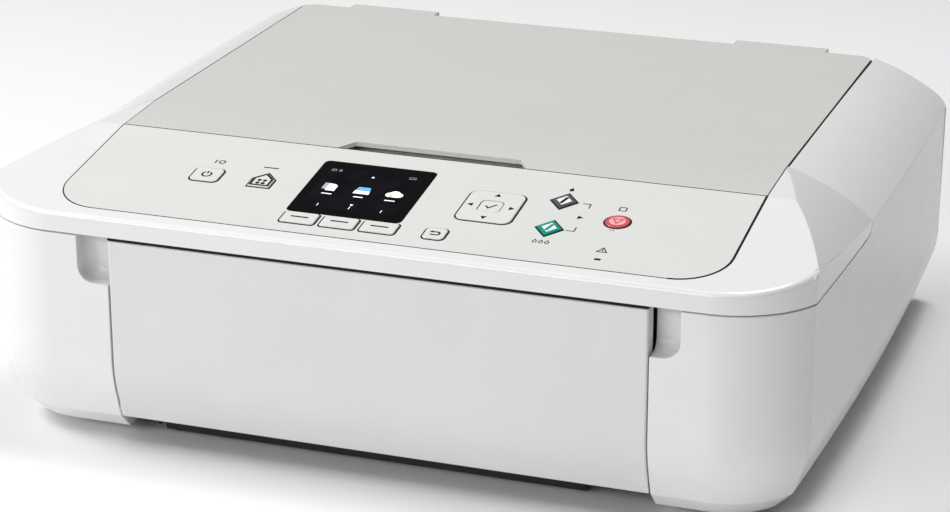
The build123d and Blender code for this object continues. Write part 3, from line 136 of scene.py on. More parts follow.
def finish(name, colour, rough, tone=0.02, tone_scale=30.0, spread=0.05, grain=0.0, grain_scale=2500.0,
           speckle=0.0, speckle_scale=1800.0, coat=0.0, metallic=0.0, stretch=None, ior=1.48):
    """Moulded or machined surface: faint tone drift, speckle, uneven gloss and fine grain."""
    material = bpy.data.materials.new(name)
    material.use_nodes = True
    tree = material.node_tree
    shader = tree.nodes["Principled BSDF"]
    shader.inputs["Metallic"].default_value = metallic
    shader.inputs["IOR"].default_value = ior
    shader.inputs["Coat Weight"].default_value = coat
    shader.inputs["Coat Roughness"].default_value = COAT_ROUGHNESS
    coords = tree.nodes.new("ShaderNodeTexCoord").outputs["Object"]
    if stretch:
        mapping = tree.nodes.new("ShaderNodeMapping")
        mapping.inputs["Scale"].default_value = stretch
        tree.links.new(coords, mapping.inputs["Vector"])
        coords = mapping.outputs["Vector"]

    def noise(scale, detail):
        node = tree.nodes.new("ShaderNodeTexNoise")
        node.inputs["Scale"].default_value = scale
        node.inputs["Detail"].default_value = detail
        tree.links.new(coords, node.inputs["Vector"])
        return node.outputs["Fac"]

    def ramp(value, low, high, start=0.3, end=0.7):
        node = tree.nodes.new("ShaderNodeValToRGB")
        node.color_ramp.elements[0].position = start
        node.color_ramp.elements[0].color = (*low, 1)
        node.color_ramp.elements[1].position = end
        node.color_ramp.elements[1].color = (*high, 1)
        tree.links.new(value, node.inputs["Fac"])
        return node.outputs["Color"]

    def shade(k):
        return tuple(min(1.0, max(0.0, c * k)) for c in colour)

    tinted = ramp(noise(tone_scale, 3), shade(1 - tone), shade(1 + tone))
    if speckle:
        dots = ramp(noise(speckle_scale, 2), (1 - speckle,) * 3, (1.0,) * 3, 0.36, 0.56)
        mix = tree.nodes.new("ShaderNodeMix")
        mix.data_type = "RGBA"
        mix.blend_type = "MULTIPLY"
        mix.inputs["Factor"].default_value = 1.0
        tree.links.new(tinted, mix.inputs["A"])
        tree.links.new(dots, mix.inputs["B"])
        tinted = mix.outputs["Result"]
    tree.links.new(tinted, shader.inputs["Base Color"])
    gloss = tree.nodes.new("ShaderNodeMapRange")
    gloss.inputs["To Min"].default_value = max(0.02, rough - spread)
    gloss.inputs["To Max"].default_value = rough + spread
    tree.links.new(noise(tone_scale * GLOSS_TO_TONE, 4), gloss.inputs["Value"])
    tree.links.new(gloss.outputs["Result"], shader.inputs["Roughness"])
    if grain:
        bump = tree.nodes.new("ShaderNodeBump")
        bump.inputs["Strength"].default_value = grain
        bump.inputs["Distance"].default_value = GRAIN_DEPTH
        tree.links.new(noise(grain_scale, 3), bump.inputs["Height"])
        tree.links.new(bump.outputs["Normal"], shader.inputs["Normal"])
    return material


def glass(name, colour, rough):
    material = finish(name, colour, rough, spread=0.02, tone=0.01)
    shader = material.node_tree.nodes["Principled BSDF"]
    shader.inputs["Transmission Weight"].default_value = 1.0
    return material


def lit(name, colour, strength, tone=0.08, tone_scale=90.0):
    """A lit patch of the display."""
    material = finish(name, colour, 0.12, tone=tone, tone_scale=tone_scale, ior=1.15)
    shader = material.node_tree.nodes["Principled BSDF"]
    source = shader.inputs["Base Color"].links[0].from_socket
    material.node_tree.links.new(source, shader.inputs["Emission Color"])
    shader.inputs["Emission Strength"].default_value = strength
    return material


def make_materials():
    m = {
        "shell": finish("white_gloss_shell", (0.83, 0.83, 0.83), 0.24, tone=0.012, grain=0.06,
                        grain_scale=1400, coat=0.04, ior=1.3),
        "cover": finish("cover_gloss", (0.74, 0.74, 0.735), 0.22, tone=0.012, grain=0.06,
                        grain_scale=1400, coat=0.1, ior=1.4),
        "brow": finish("brow_gloss", (0.83, 0.83, 0.83), 0.22, tone=0.012, grain=0.05,
                       grain_scale=1400, coat=0.3),
        "lid": finish("lid_satin", (0.64, 0.645, 0.615), 0.42, tone=0.008, spread=0.03, speckle=0.085,
                      speckle_scale=1500, grain=0.35, grain_scale=1700),
        "panel": finish("panel_satin", (0.72, 0.73, 0.705), 0.4, tone=0.008, spread=0.03, speckle=0.05,
                        speckle_scale=1900, grain=0.22, grain_scale=2100),
        "key": finish("key_satin", (0.74, 0.75, 0.725), 0.38, tone=0.015, speckle=0.04, grain=0.2),
        "key_dark": finish("key_dark", (0.09, 0.09, 0.095), 0.3, tone=0.06, grain=0.2),
        "key_green": finish("key_green", (0.0, 0.30, 0.22), 0.3, tone=0.06, grain=0.2),
        "key_red": finish("key_red", (0.62, 0.09, 0.10), 0.28, tone=0.06, grain=0.2),
        "screen": finish("screen_black", (0.003, 0.003, 0.003), 0.1, tone=0.2, spread=0.03, ior=1.2),
        "black": finish("black_textured", (0.016, 0.016, 0.017), 0.48, tone=0.15, spread=0.08,
                        grain=0.7, grain_scale=1500),
        "dark": finish("charcoal_moulding", (0.045, 0.046, 0.05), 0.42, tone=0.12, grain=0.5,
                       grain_scale=1600),
        "grey": finish("grey_moulding", (0.27, 0.275, 0.285), 0.4, tone=0.05, grain=0.4,
                       grain_scale=1700),
        "gear": finish("acetal_gear", (0.72, 0.71, 0.66), 0.34, tone=0.04, grain=0.25),
        "rubber": finish("roller_rubber", (0.02, 0.02, 0.021), 0.72, tone=0.2, grain=0.8,
                         grain_scale=1100),
        "steel": finish("plated_steel", (0.56, 0.57, 0.58), 0.3, tone=0.05, metallic=1.0, grain=0.25,
                        stretch=(0.06, 1.0, 1.0), grain_scale=1600),
        "pad": finish("backing_foam", (0.78, 0.78, 0.76), 0.85, tone=0.02, grain=1.0, grain_scale=900),
        "board": finish("circuit_board", (0.012, 0.13, 0.05), 0.32, tone=0.25, tone_scale=420,
                        spread=0.08, grain=0.4, grain_scale=700),
        # Dark print, and also the painted shade in the gaps round the buttons, the panel and the lid and
        # under the brow.
        "ink": finish("print_and_painted_shade", (0.01, 0.01, 0.01), 0.6, tone=0.1, ior=1.25),
        "ink_white": finish("printed_white", (0.86, 0.87, 0.86), 0.45, tone=0.02),
        "stop_pale": finish("printed_pink", (0.85, 0.42, 0.43), 0.45, tone=0.03),
        "glass": glass("platen_glass", (0.93, 0.97, 0.955), 0.03),
        "screen_dark": lit("screen_field", (0.004, 0.004, 0.006), 0.3, tone=0.35),
        "screen_white": lit("screen_white", (0.82, 0.86, 0.9), 0.75),
        "screen_blue": lit("screen_blue", (0.10, 0.32, 0.62), 0.8),
        "screen_green": lit("screen_green", (0.36, 0.52, 0.06), 0.8),
        "screen_grey": lit("screen_grey", (0.30, 0.32, 0.35), 0.6),
    }
    inks = {"black": (0.012, 0.012, 0.013), "grey": (0.3, 0.31, 0.32), "cyan": (0.0, 0.28, 0.55),
            "magenta": (0.55, 0.02, 0.2), "yellow": (0.75, 0.55, 0.02)}
    for ink, colour in inks.items():
        m["label_" + ink] = finish("label_" + ink, colour, 0.35, tone=0.04, grain=0.15)
    return m


NODE_FINISH = {
    "shell": ["left_housing", "right_housing"],
    "cover": ["front_cover"],
    "brow": ["scanner_frame"],
    "lid": ["document_lid"],
    "panel": ["operation_panel"],
    "key": ["power_button", "home_button", "left_function_button", "centre_function_button",
            "right_function_button", "back_button", "ok_button", "arrow_pad"],
    "key_dark": ["black_start_button"],
    "key_green": ["colour_start_button"],
    "key_red": ["stop_button"],
    "screen": ["display_window"],
    "black": ["base_chassis", "rear_panel", "rear_cover", "cassette", "power_inlet", "usb_port"],
    "dark": ["inner_frame", "output_tray", "scan_bar", "carriage", "paper_platen", "scanner_pan",
             "lid_hinges", "power_supply", "pickup_arm", "print_head", "spur_holder"],
    "grey": ["output_support", "maintenance_unit", "paper_guide_left", "paper_guide_right",
             "length_guide", "ink_tanks"],
    "gear": ["idler_gear", "feed_pinion", "scan_pinion", "drive_pulley", "idler_pulley",
             "output_roller"],
    "rubber": ["feet", "pickup_roller", "timing_belt", "feed_roller"],
    "steel": ["hinge_brackets", "mechanism_frame", "carriage_rail", "motors", "screws"],
    "pad": ["document_pad"],
    "board": ["control_board", "main_board"],
    "glass": ["platen_glass"],
}
# Width of the softened edges, in mm. Pieces that are not named keep their edges.
EDGE_ROUND = {
    "left_housing": 0.45, "right_housing": 0.45, "front_cover": 0.35, "scanner_frame": 0.3,
    "document_lid": 0.3, "cassette": 0.3, "base_chassis": 0.3, "rear_panel": 0.3,
    "rear_cover": 0.3, "carriage": 0.3, "inner_frame": 0.3, "power_supply": 0.4,
    "output_tray": 0.2, "output_support": 0.25, "paper_guide_left": 0.2,
    "paper_guide_right": 0.2, "length_guide": 0.2,
}
# Edges that turn by more than CREASE are sharp, and by more than ROUND_FROM are rounded too.
CREASE = math.radians(4)
ROUND_FROM = math.radians(14)
# Points closer than a twentieth of a millimetre count as one when edges are matched.
KEYS_PER_METRE = 20000
WELD_REACH = 0.004 * MM
BEVEL_SEGMENTS = 3
FACE_WEIGHT = 100


def edge_key(a, b):
    """The same key for coincident edges of neighbouring faces, whichever way they run."""
    ends = sorted(tuple(round(c * KEYS_PER_METRE) for c in p) for p in (a, b))
    return tuple(ends[0]), tuple(ends[1])


def find_creases(mesh):
    """How far the true surface turns across each edge, from the model's own normals."""
    normals = [Vector(n.vector) for n in mesh.corner_normals]
    sides = {}
    for polygon in mesh.polygons:
        loops = list(polygon.loop_indices)
        for here, after in zip(loops, loops[1:] + loops[:1]):
            a = mesh.loops[here].vertex_index
            b = mesh.loops[after].vertex_index
            key = edge_key(mesh.vertices[a].co, mesh.vertices[b].co)
            sides.setdefault(key, []).append(normals[here] + normals[after])
    turns = {}
    for key, found in sides.items():
        turns[key] = found[0].angle(found[1], 0.0) if len(found) == 2 else math.pi
    return turns


def soften(name, piece):
    """Welds the faces together, marks true creases sharp and rounds the strong ones."""
    mesh = piece.data
    turns = find_creases(mesh)
    weights = mesh.attributes.get("bevel_weight_edge")
    weights = weights or mesh.attributes.new("bevel_weight_edge", "FLOAT", "EDGE")
    for edge in mesh.edges:
        a, b = (mesh.vertices[k].co for k in edge.vertices)
        turn = turns.get(edge_key(a, b), 0.0)
        edge.use_edge_sharp = turn > CREASE
        weights.data[edge.index].value = 1.0 if turn > ROUND_FROM else 0.0
    custom = mesh.attributes.get("custom_normal")
    if custom:
        mesh.attributes.remove(custom)
    for polygon in mesh.polygons:
        polygon.use_smooth = True
    weld = piece.modifiers.new("weld", "WELD")
    weld.merge_threshold = WELD_REACH
    bevel = piece.modifiers.new("edge_round", "BEVEL")
    bevel.width = EDGE_ROUND[name] * MM
    bevel.segments = BEVEL_SEGMENTS
    bevel.limit_method = "WEIGHT"
    bevel.use_clamp_overlap = False
    bevel.miter_outer = "MITER_SHARP"
    even = piece.modifiers.new("even_normals", "WEIGHTED_NORMAL")
    even.weight = FACE_WEIGHT
    even.keep_sharp = True


def dress_nodes(m):
    """Gives each CAD node its finish, and softens the edges of those in EDGE_ROUND."""
    for key, names in NODE_FINISH.items():
        for name in names:
            piece = nodes[name]
            piece.data.materials.clear()
            piece.data.materials.append(m[key])
            if name in EDGE_ROUND:
                soften(name, piece)


def add_piece(name, data, material, body):
    """Makes a piece of a mesh and lets it ride on a body."""
    data.materials.append(material)
    piece = bpy.data.objects.new(name, data)
    bpy.context.scene.collection.objects.link(piece)
    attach(piece, body)


# ---------------------------------------------------------------------------
# Thin marks on the sloped panel, in its own axes: u across, v up the slope,
# w out of the surface. Their outlines and heights are in mm.
# ---------------------------------------------------------------------------
# Points within TOP_FACE of the highest belong to the top face.
TOP_FACE = 0.05 * MM
# The least share of a mitre, so that a tight corner does not run to a long spike.
MITRE_SHARE = 0.35
# Degrees between the points of a ring.
RING_STEP = 12
# Heights of a mark above the surface, and of one that lies over another.
MARK_LOW, MARK_HIGH = -0.02, 0.06
OVER_LOW, OVER_HIGH = 0.02, 0.12
press_axis = next(Vector(j["axis"]) for j in frame["joints"] if j["name"] == "power_button_press")
OUT = -press_axis.normalized()
ACROSS = Vector((1, 0, 0))
UPHILL = OUT.cross(ACROSS)


def on_slope(u, v, w):
    return ACROSS * u + UPHILL * v + OUT * w


def cap(name):
    """Centre and half size of a node's top face, in the panel's axes."""
    points = [(p.co.x, p.co.dot(UPHILL), p.co.dot(OUT)) for p in nodes[name].data.vertices]
    top = max(p[2] for p in points)
    us, vs = zip(*[p[:2] for p in points if p[2] > top - TOP_FACE])
    centre = ((min(us) + max(us)) / 2, (min(vs) + max(vs)) / 2, top)
    return centre, ((max(us) - min(us)) / 2, (max(vs) - min(vs)) / 2)


def spot(x, y):
    """The point of the panel surface at plan place (x, y) in mm."""
    top = max(p.co.dot(OUT) for p in nodes["operation_panel"].data.vertices)
    y = y * MM
    z = (top - OUT.y * y) / OUT.z
    return (x * MM, y * UPHILL.y + z * UPHILL.z, top)


class Mark:
    """Outlines in mm around a centre on the slope, raised into one thin mesh."""

    def __init__(self, centre):
        self.centre = centre
        self.shapes = []

    def area(self, points):
        self.shapes.append(list(points))
        return self

    def bar(self, x0, y0, x1, y1, width):
        """A straight line with square ends."""
        length = math.hypot(x1 - x0, y1 - y0)
        nx, ny = -(y1 - y0) / length * width / 2, (x1 - x0) / length * width / 2
        return self.area([(x0 + nx, y0 + ny), (x0 - nx, y0 - ny), (x1 - nx, y1 - ny), (x1 + nx, y1 + ny)])

    def path(self, points, width, closed=False):
        """A line of even width through points, mitred at its corners."""
        n = len(points)
        left, right = [], []
        for k, (x, y) in enumerate(points):
            before = points[k - 1] if k or closed else None
            after = points[(k + 1) % n] if k < n - 1 or closed else None
            first = Vector((x, y)) - Vector(before) if before else Vector(after) - Vector((x, y))
            second = Vector(after) - Vector((x, y)) if after else first
            first, second = first.normalized(), second.normalized()
            side = Vector((-first.y - second.y, first.x + second.x))
            side = side.normalized() if side.length > 1e-6 else Vector((-first.y, first.x))
            share = max(MITRE_SHARE, side.dot(Vector((-first.y, first.x))))
            reach = side * (width / 2 / share)
            left.append((x + reach.x, y + reach.y))
            right.append((x - reach.x, y - reach.y))
        for k in range(n if closed else n - 1):
            j = (k + 1) % n
            self.area([left[k], right[k], right[j], left[j]])
        return self

    def ring(self, x, y, radius, width, start=0.0, end=360.0):
        """A line round a circle, or round the part of it from start to end, in degrees."""
        closed = end - start >= 360
        steps = max(8, int((end - start) / RING_STEP))
        count = steps if closed else steps + 1
        angles = [math.radians(start + (end - start) * k / steps) for k in range(count)]
        points = [(x + radius * math.cos(a), y + radius * math.sin(a)) for a in angles]
        return self.path(points, width, closed)

    def disc(self, x, y, radius, steps=20):
        angles = [2 * math.pi * k / steps for k in range(steps)]
        return self.area([(x + radius * math.cos(a), y + radius * math.sin(a)) for a in angles])

    def make(self, name, body, material, low=MARK_LOW, high=MARK_HIGH):
        """Builds the mark between two heights above the surface, in mm."""
        mesh = bmesh.new()
        cu, cv, cw = self.centre
        for shape in self.shapes:
            twice_area = sum(a[0] * b[1] - b[0] * a[1] for a, b in zip(shape, shape[1:] + shape[:1]))
            points = shape if twice_area > 0 else shape[::-1]
            rows = []
            for w in (low, high):
                places = [on_slope(cu + x * MM, cv + y * MM, cw + w * MM) for x, y in points]
                rows.append([mesh.verts.new(place) for place in places])
            mesh.faces.new(rows[1])
            mesh.faces.new(rows[0][::-1])
            for k in range(len(points)):
                j = (k + 1) % len(points)
                mesh.faces.new((rows[0][k], rows[0][j], rows[1][j], rows[1][k]))
        data = bpy.data.meshes.new(name)
        mesh.to_mesh(data)
        mesh.free()
        add_piece(name, data, material, body)


def hull(points):
    """Convex outline of flat points, anticlockwise."""
    points = sorted(set(points))

    def chain(ordered):
        kept = []
        for p in ordered:
            while len(kept) > 1:
                (ax, ay), (bx, by) = kept[-2:]
                if (bx - ax) * (p[1] - ay) - (by - ay) * (p[0] - ax) > 1e-12:
                    break
                kept.pop()
            kept.append(p)
        return kept[:-1]

    return chain(points) + chain(points[::-1])


# Buttons whose gaps are filled with painted shade: a dark ring that stands for the shade in each gap.
GAP_SHADE_NODES = ("power_button", "home_button", "left_function_button", "centre_function_button",
               "right_function_button", "back_button", "arrow_pad", "black_start_button",
               "colour_start_button", "stop_button", "ok_button")
# The painted shade rings in the button gaps, in mm: from and to which distance off the button, and how high
# and deep.
GAP_SHADE_INNER, GAP_SHADE_OUTER = 0.06, 0.95
GAP_SHADE_TOP, GAP_SHADE_DEEP = 0.04, 0.5
# Height of the band at the button's foot that gives its outline, the shortest stretch of
# the outline that is kept, and the least share of a mitre.
GAP_SHADE_FOOT = 0.1
GAP_SHADE_STEP = 0.05
GAP_SHADE_SHARE = 0.5


def make_painted_gap_shade(m):
    """Painted shade: a thin dark ring that fills the gap round each button and stands for the shade in it.
    """
    surface = spot(0, 0)[2]
    for name in GAP_SHADE_NODES:
        points = [(p.co.x, p.co.dot(UPHILL), p.co.dot(OUT)) for p in nodes[name].data.vertices]
        foot = min(p[2] for p in points)
        low_points = [p for p in points if p[2] < foot + GAP_SHADE_FOOT * MM]
        outline = hull([(round(p[0] / MM, 3), round(p[1] / MM, 3)) for p in low_points])
        outline = [p for k, p in enumerate(outline) if math.dist(p, outline[k - 1]) > GAP_SHADE_STEP]
        grow = (GAP_SHADE_INNER + GAP_SHADE_OUTER) / 2
        middle = []
        for k, (x, y) in enumerate(outline):
            before, after = Vector(outline[k - 1]), Vector(outline[(k + 1) % len(outline)])
            here = Vector((x, y))
            first, second = (here - before).normalized(), (after - here).normalized()
            out = Vector((first.y + second.y, -first.x - second.x)).normalized()
            share = max(GAP_SHADE_SHARE, out.dot(Vector((first.y, -first.x))))
            middle.append(tuple(here + out * (grow / share)))
        gap_shade = Mark((0, 0, surface)).path(middle, GAP_SHADE_OUTER - GAP_SHADE_INNER, True)
        body = "arrow_pad" if name == "ok_button" else "scanner"
        gap_shade.make("painted_gap_shade_" + name, body, m["ink"], -GAP_SHADE_DEEP, GAP_SHADE_TOP)


def triangle(x, y, size, angle):
    """An even triangle pointing along angle, in degrees."""
    corners = [math.radians(angle + k * 120) for k in range(3)]
    return [(x + size * math.cos(a), y + size * math.sin(a)) for a in corners]


def rounded_rect(half_w, half_h, radius, steps=5):
    """Outline of a rectangle with round corners, anticlockwise about the origin."""
    points = []
    for k, (sx, sy) in enumerate(((1, 1), (-1, 1), (-1, -1), (1, -1))):
        for s in range(steps + 1):
            angle = math.radians(90 * k + 90 * s / steps)
            points.append((sx * (half_w - radius) + radius * math.cos(angle),
                           sy * (half_h - radius) + radius * math.sin(angle)))
    return points


def mark_keys(m):
    """Symbols on the button caps."""
    line = 0.95
    centre, _ = cap("power_button")
    power = Mark(centre).ring(0, -0.2, 2.5, line, 125, 415).bar(0, 0.6, 0, 3.0, line)
    power.make("power_symbol", "power_button", m["ink"])

    centre, half = cap("home_button")
    w, h = half[0] / MM, half[1] / MM
    outline = [(-w * 0.86, -h * 0.88), (w * 0.86, -h * 0.88), (w * 0.86, h * 0.14)]
    outline += [(0, h * 0.84), (-w * 0.86, h * 0.14)]
    home = Mark(centre).path(outline, 1.3, True)
    for x in (-1.5, 1.5):
        for y in (-1.0, -4.0):
            home.disc(x, y, 1.15)
    home.make("home_symbol", "home_button", m["ink"])

    for name in ("left_function_button", "centre_function_button", "right_function_button"):
        centre, _ = cap(name)
        Mark(centre).bar(-4.8, 0.4, 4.8, 0.4, 1.1).make(name.replace("button", "line"), name, m["ink"])

    centre, _ = cap("back_button")
    turn = [(-1.6, 1.2), (1.6, 1.2), (2.5, 0.4), (2.5, -0.9), (1.6, -1.7), (-2.2, -1.7)]
    back = Mark(centre).path(turn, line)
    back.area(triangle(-2.0, 1.2, 1.25, 180))
    back.make("back_symbol", "back_button", m["ink"])

    centre, _ = cap("ok_button")
    tick = Mark(centre).path([(-2.6, 0.1), (-0.7, -2.0), (2.9, 2.2)], 0.9)
    tick.make("confirm_symbol", "ok_button", m["ink"])

    centre, half = cap("arrow_pad")
    w, h = half[0] / MM - 3.6, half[1] / MM - 3.6
    arrows = Mark(centre)
    for x, y, angle in ((w, 0, 0), (0, h, 90), (-w, 0, 180), (0, -h, 270)):
        arrows.area(triangle(x, y, 2.0, angle))
    arrows.make("arrow_symbols", "arrow_pad", m["ink"])


def mark_start_keys(m):
    """Pale fields and dark signs on the two start buttons and the stop button."""
    for name, pale, deep in (("black_start_button", "ink_white", "ink"),
                             ("colour_start_button", "ink_white", "key_green")):
        centre, half = cap(name)
        w, h = half[0] / MM, half[1] / MM
        outline = [(w * 0.66, 0), (0, h * 0.66), (-w * 0.66, 0), (0, -h * 0.66)]
        Mark(centre).area(outline).make(f"{name}_field", name, m[pale])
        slash = Mark(centre).bar(-w * 0.16, -h * 0.44, w * 0.16, h * 0.44, 1.7)
        slash.make(f"{name}_slash", name, m[deep], OVER_LOW, OVER_HIGH)

    centre, half = cap("stop_button")
    radius = half[0] / MM
    Mark(centre).disc(0, 0, radius * 0.72).make("stop_field", "stop_button", m["stop_pale"])
    sign = Mark(centre).path(triangle(0, 0.5, radius * 0.5, 270), 0.8, True)
    sign.make("stop_symbol", "stop_button", m["key_red"], OVER_LOW, OVER_HIGH)


# Plan places of the alarm sign and its lamp, in mm.
ALARM_PLACE = (115.6, -156.5)
ALARM_LAMP_PLACE = (115.8, -165.6)


def mark_panel(m):
    """Plain pictograms printed on the panel itself."""
    (bu, bv, _), _ = cap("black_start_button")
    (gu, gv, _), _ = cap("colour_start_button")
    top = max(p.co.dot(OUT) for p in nodes["operation_panel"].data.vertices)

    def near(centre, du, dv):
        return Mark((centre[0] + du * MM, centre[1] + dv * MM, top))

    bracket = near((bu, bv), 0, 0)
    for far, inner in ((0.0, -3.2), ((gv - bv) / MM, 3.2)):
        edge = far + inner
        bracket.path([(10.0, far), (14.2, far), (14.2, edge - math.copysign(1.2, -inner))], 0.6)
    bracket.make("start_bracket", "scanner", m["ink"])
    play = near((bu, (bv + gv) / 2), 12.6, 0.0).area(triangle(0, 0, 2.0, 0))
    play.make("start_pictogram", "scanner", m["ink"])

    drop = [(0, 2.2), (1.3, -0.1), (0.95, -1.3), (0, -1.75), (-0.95, -1.3), (-1.3, -0.1)]
    near((bu, bv), 0, 13.0).area(drop).make("black_ink_pictogram", "scanner", m["ink"])
    drops = near((gu, gv), 0, -14.0)
    for shift in (-3.2, 0, 3.2):
        drops.path([(x * 0.8 + shift, y * 0.8) for x, y in drop], 0.5, True)
    drops.make("colour_ink_pictogram", "scanner", m["ink"])

    centre, _ = cap("stop_button")
    near(centre, -1.2, 13.8).path(rounded_rect(1.8, 1.8, 0.4, 2), 0.6, True).make(
        "stop_pictogram", "scanner", m["ink"])
    near(centre, -0.6, -8.6).bar(-1.0, 0, -0.3, 0, 0.8).bar(0.5, 0, 1.2, 0, 0.8).make(
        "stop_ticks", "scanner", m["ink"])
    centre, _ = cap("power_button")
    near(centre, -1.6, 15.6).bar(0, -1.8, 0, 1.8, 0.7).ring(3.6, 0, 1.6, 0.65).make(
        "power_pictogram", "scanner", m["ink"])
    centre, _ = cap("home_button")
    near(centre, -1.4, 14.4).bar(-4.2, 0, 4.2, 0, 0.9).make("home_pictogram", "scanner", m["ink"])

    alarm = Mark(spot(*ALARM_PLACE)).path(triangle(0, -0.3, 2.9, 90), 0.6, True)
    alarm.bar(0, -0.9, 0, 0.9, 0.6)
    alarm.make("alarm_pictogram", "scanner", m["ink"])
    lamp = Mark(spot(*ALARM_LAMP_PLACE)).area([(-1.6, -0.9), (1.6, -0.9), (1.6, 0.9), (-1.6, 0.9)])
    lamp.make("alarm_lamp", "scanner", m["ink"])


SCREEN_W, SCREEN_H = 52.2, 43.9
# Thickness of a layer of the picture, distance between its columns, and how far the
# status row lies below its top.
SHEET_THICK = 0.03
COLUMN = 17.4
STATUS_DROP = 3.0


def make_screen(m):
    """The display's lit picture: plain pictograms on a dark field."""
    centre, _ = cap("display_window")
    half_w, half_h = SCREEN_W / 2, SCREEN_H / 2

    def sheet(name, key, mark, level):
        mark.make("screen_" + name, "scanner", m[key], level, level + SHEET_THICK)

    sheet("field", "screen_dark", Mark(centre).area(rounded_rect(half_w, half_h, 0.6)), 0.0)
    bar = Mark(centre)
    for x, w in ((-half_w + 3.0, 2.2), (-half_w + 6.6, 1.2), (half_w - 5.4, 3.4)):
        outline = rounded_rect(w / 2, 0.9, 0.3, 2)
        bar.path([(px + x, py + half_h - STATUS_DROP) for px, py in outline], 0.3, True)
    sheet("status", "screen_grey", bar, SHEET_THICK)
    arrows = Mark(centre).area(triangle(0, half_h - 6.6, 1.1, 90)).area(triangle(0, -half_h + 6.2, 1.1, 270))
    for x in (-COLUMN, 0, COLUMN):
        arrows.bar(x, -half_h + 1.6, x, -half_h + 4.4, 0.35)
    sheet("arrows", "screen_white", arrows, SHEET_THICK)
    captions = Mark(centre)
    for x, w in ((-COLUMN, 5.6), (0, 5.2), (COLUMN, 5.8)):
        captions.bar(x - w / 2, -6.8, x + w / 2, -6.8, 0.8)
    sheet("captions", "screen_white", captions, SHEET_THICK)

    copy = Mark(centre).area([(-22.2, -2.0), (-17.6, -2.0), (-17.6, 4.4), (-22.2, 4.4)])
    sheet("copy_back", "screen_grey", copy, SHEET_THICK)
    page = [(-19.8, -3.4), (-14.6, -3.4), (-14.6, 2.2), (-16.2, 3.8), (-19.8, 3.8)]
    front = Mark(centre).area(page)
    sheet("copy_front", "screen_white", front, 2 * SHEET_THICK)
    base = Mark(centre).area([(-4.4, -3.2), (4.4, -3.2), (4.0, 0.2), (-4.0, 0.2)])
    sheet("scan_base", "screen_white", base, SHEET_THICK)
    flap = Mark(centre).area([(-3.9, 0.7), (4.0, 0.7), (3.2, 3.9), (-3.2, 3.9)])
    sheet("scan_lid", "screen_blue", flap, SHEET_THICK)
    cloud = Mark(centre)
    for x, y, r in ((15.2, -0.6, 2.3), (17.6, 0.8, 2.9), (20.2, -0.4, 2.2)):
        cloud.disc(x, y, r)
    cloud.area([(15.2, -2.9), (20.2, -2.9), (20.2, -0.4), (15.2, -0.4)])
    sheet("cloud", "screen_white", cloud, SHEET_THICK)
    leaf = Mark(centre).area(triangle(16.0, -1.6, 1.9, 60))
    sheet("cloud_arrow", "screen_green", leaf, 2 * SHEET_THICK)


# ---------------------------------------------------------------------------
# Ink tank labels. A label stands in from its tank's sides and ends.
# ---------------------------------------------------------------------------
JOIN_REACH = 0.005 * MM
LABEL_SIDE, LABEL_END = 3 * MM, 12 * MM
LABEL_SINK, LABEL_RISE, LABEL_ROUND = 0.2 * MM, 0.35 * MM, 0.15 * MM


def loose_parts(name):
    """Boxes of a node's separate solids, from left to right."""
    mesh = bmesh.new()
    mesh.from_mesh(nodes[name].data)
    bmesh.ops.remove_doubles(mesh, verts=mesh.verts, dist=JOIN_REACH)
    seen, boxes = set(), []
    for start in mesh.verts:
        if start in seen:
            continue
        group, stack = [], [start]
        seen.add(start)
        while stack:
            vert = stack.pop()
            group.append(vert.co.copy())
            for edge in vert.link_edges:
                other = edge.other_vert(vert)
                if other not in seen:
                    seen.add(other)
                    stack.append(other)
        low = Vector([min(p[k] for p in group) for k in range(3)])
        high = Vector([max(p[k] for p in group) for k in range(3)])
        boxes.append((low, high))
    mesh.free()
    return sorted(boxes, key=lambda b: b[0].x)


def slab(name, low, high, body, material, radius):
    """A rounded block between two corners."""
    mesh = bmesh.new()
    bmesh.ops.create_cube(mesh, size=1.0)
    for vert in mesh.verts:
        vert.co = Vector([low[k] + (vert.co[k] + 0.5) * (high[k] - low[k]) for k in range(3)])
    bmesh.ops.bevel(mesh, geom=mesh.edges[:], offset=radius, segments=3, profile=0.5, affect="EDGES")
    data = bpy.data.meshes.new(name)
    mesh.to_mesh(data)
    mesh.free()
    add_piece(name, data, material, body)


def make_tank_labels(m):
    """A coloured label on top of each ink tank."""
    inks = ("black", "yellow", "cyan", "magenta", "grey")
    for ink, (low, high) in zip(inks, loose_parts("ink_tanks")):
        face_low = (low.x + LABEL_SIDE, low.y + LABEL_END, high.z - LABEL_SINK)
        face_high = (high.x - LABEL_SIDE, high.y - LABEL_END, high.z + LABEL_RISE)
        name = f"tank_label_{ink}"
        slab(name, face_low, face_high, "carriage", m["label_" + ink], LABEL_ROUND)


# ---------------------------------------------------------------------------
# Painted shade in the gaps, in mm: dark strips that stand for the shade in the gaps. Depths and heights are
# from the surface that the strip lies in.
# ---------------------------------------------------------------------------
BROW_SIDE, BROW_HANG, BROW_REACH = 4.6, 1.35, 9
BROW_OVERLAP, BROW_ROUND = 0.1, 0.05
PANEL_CORNER = 26.0
ARC_STEPS = 9
SHADE_RIGHT, SHADE_LEFT, SHADE_FRONT, SHADE_REAR = 1.3, 0.5, 0.5, 0.45
SHADE_LOW, SHADE_HIGH, SEAM_HIGH = -0.4, 0.05, 0.03
SEAM_SHIFT = 0.1
LID_SHADE_INNER, LID_SHADE_OUTER, LID_SHADE_DEEP = 0.08, 0.82, 6.5
LID_SHADE_REAR = 16
LID_SHADE_DROP = 0.25
LEVEL = 0.01 * MM


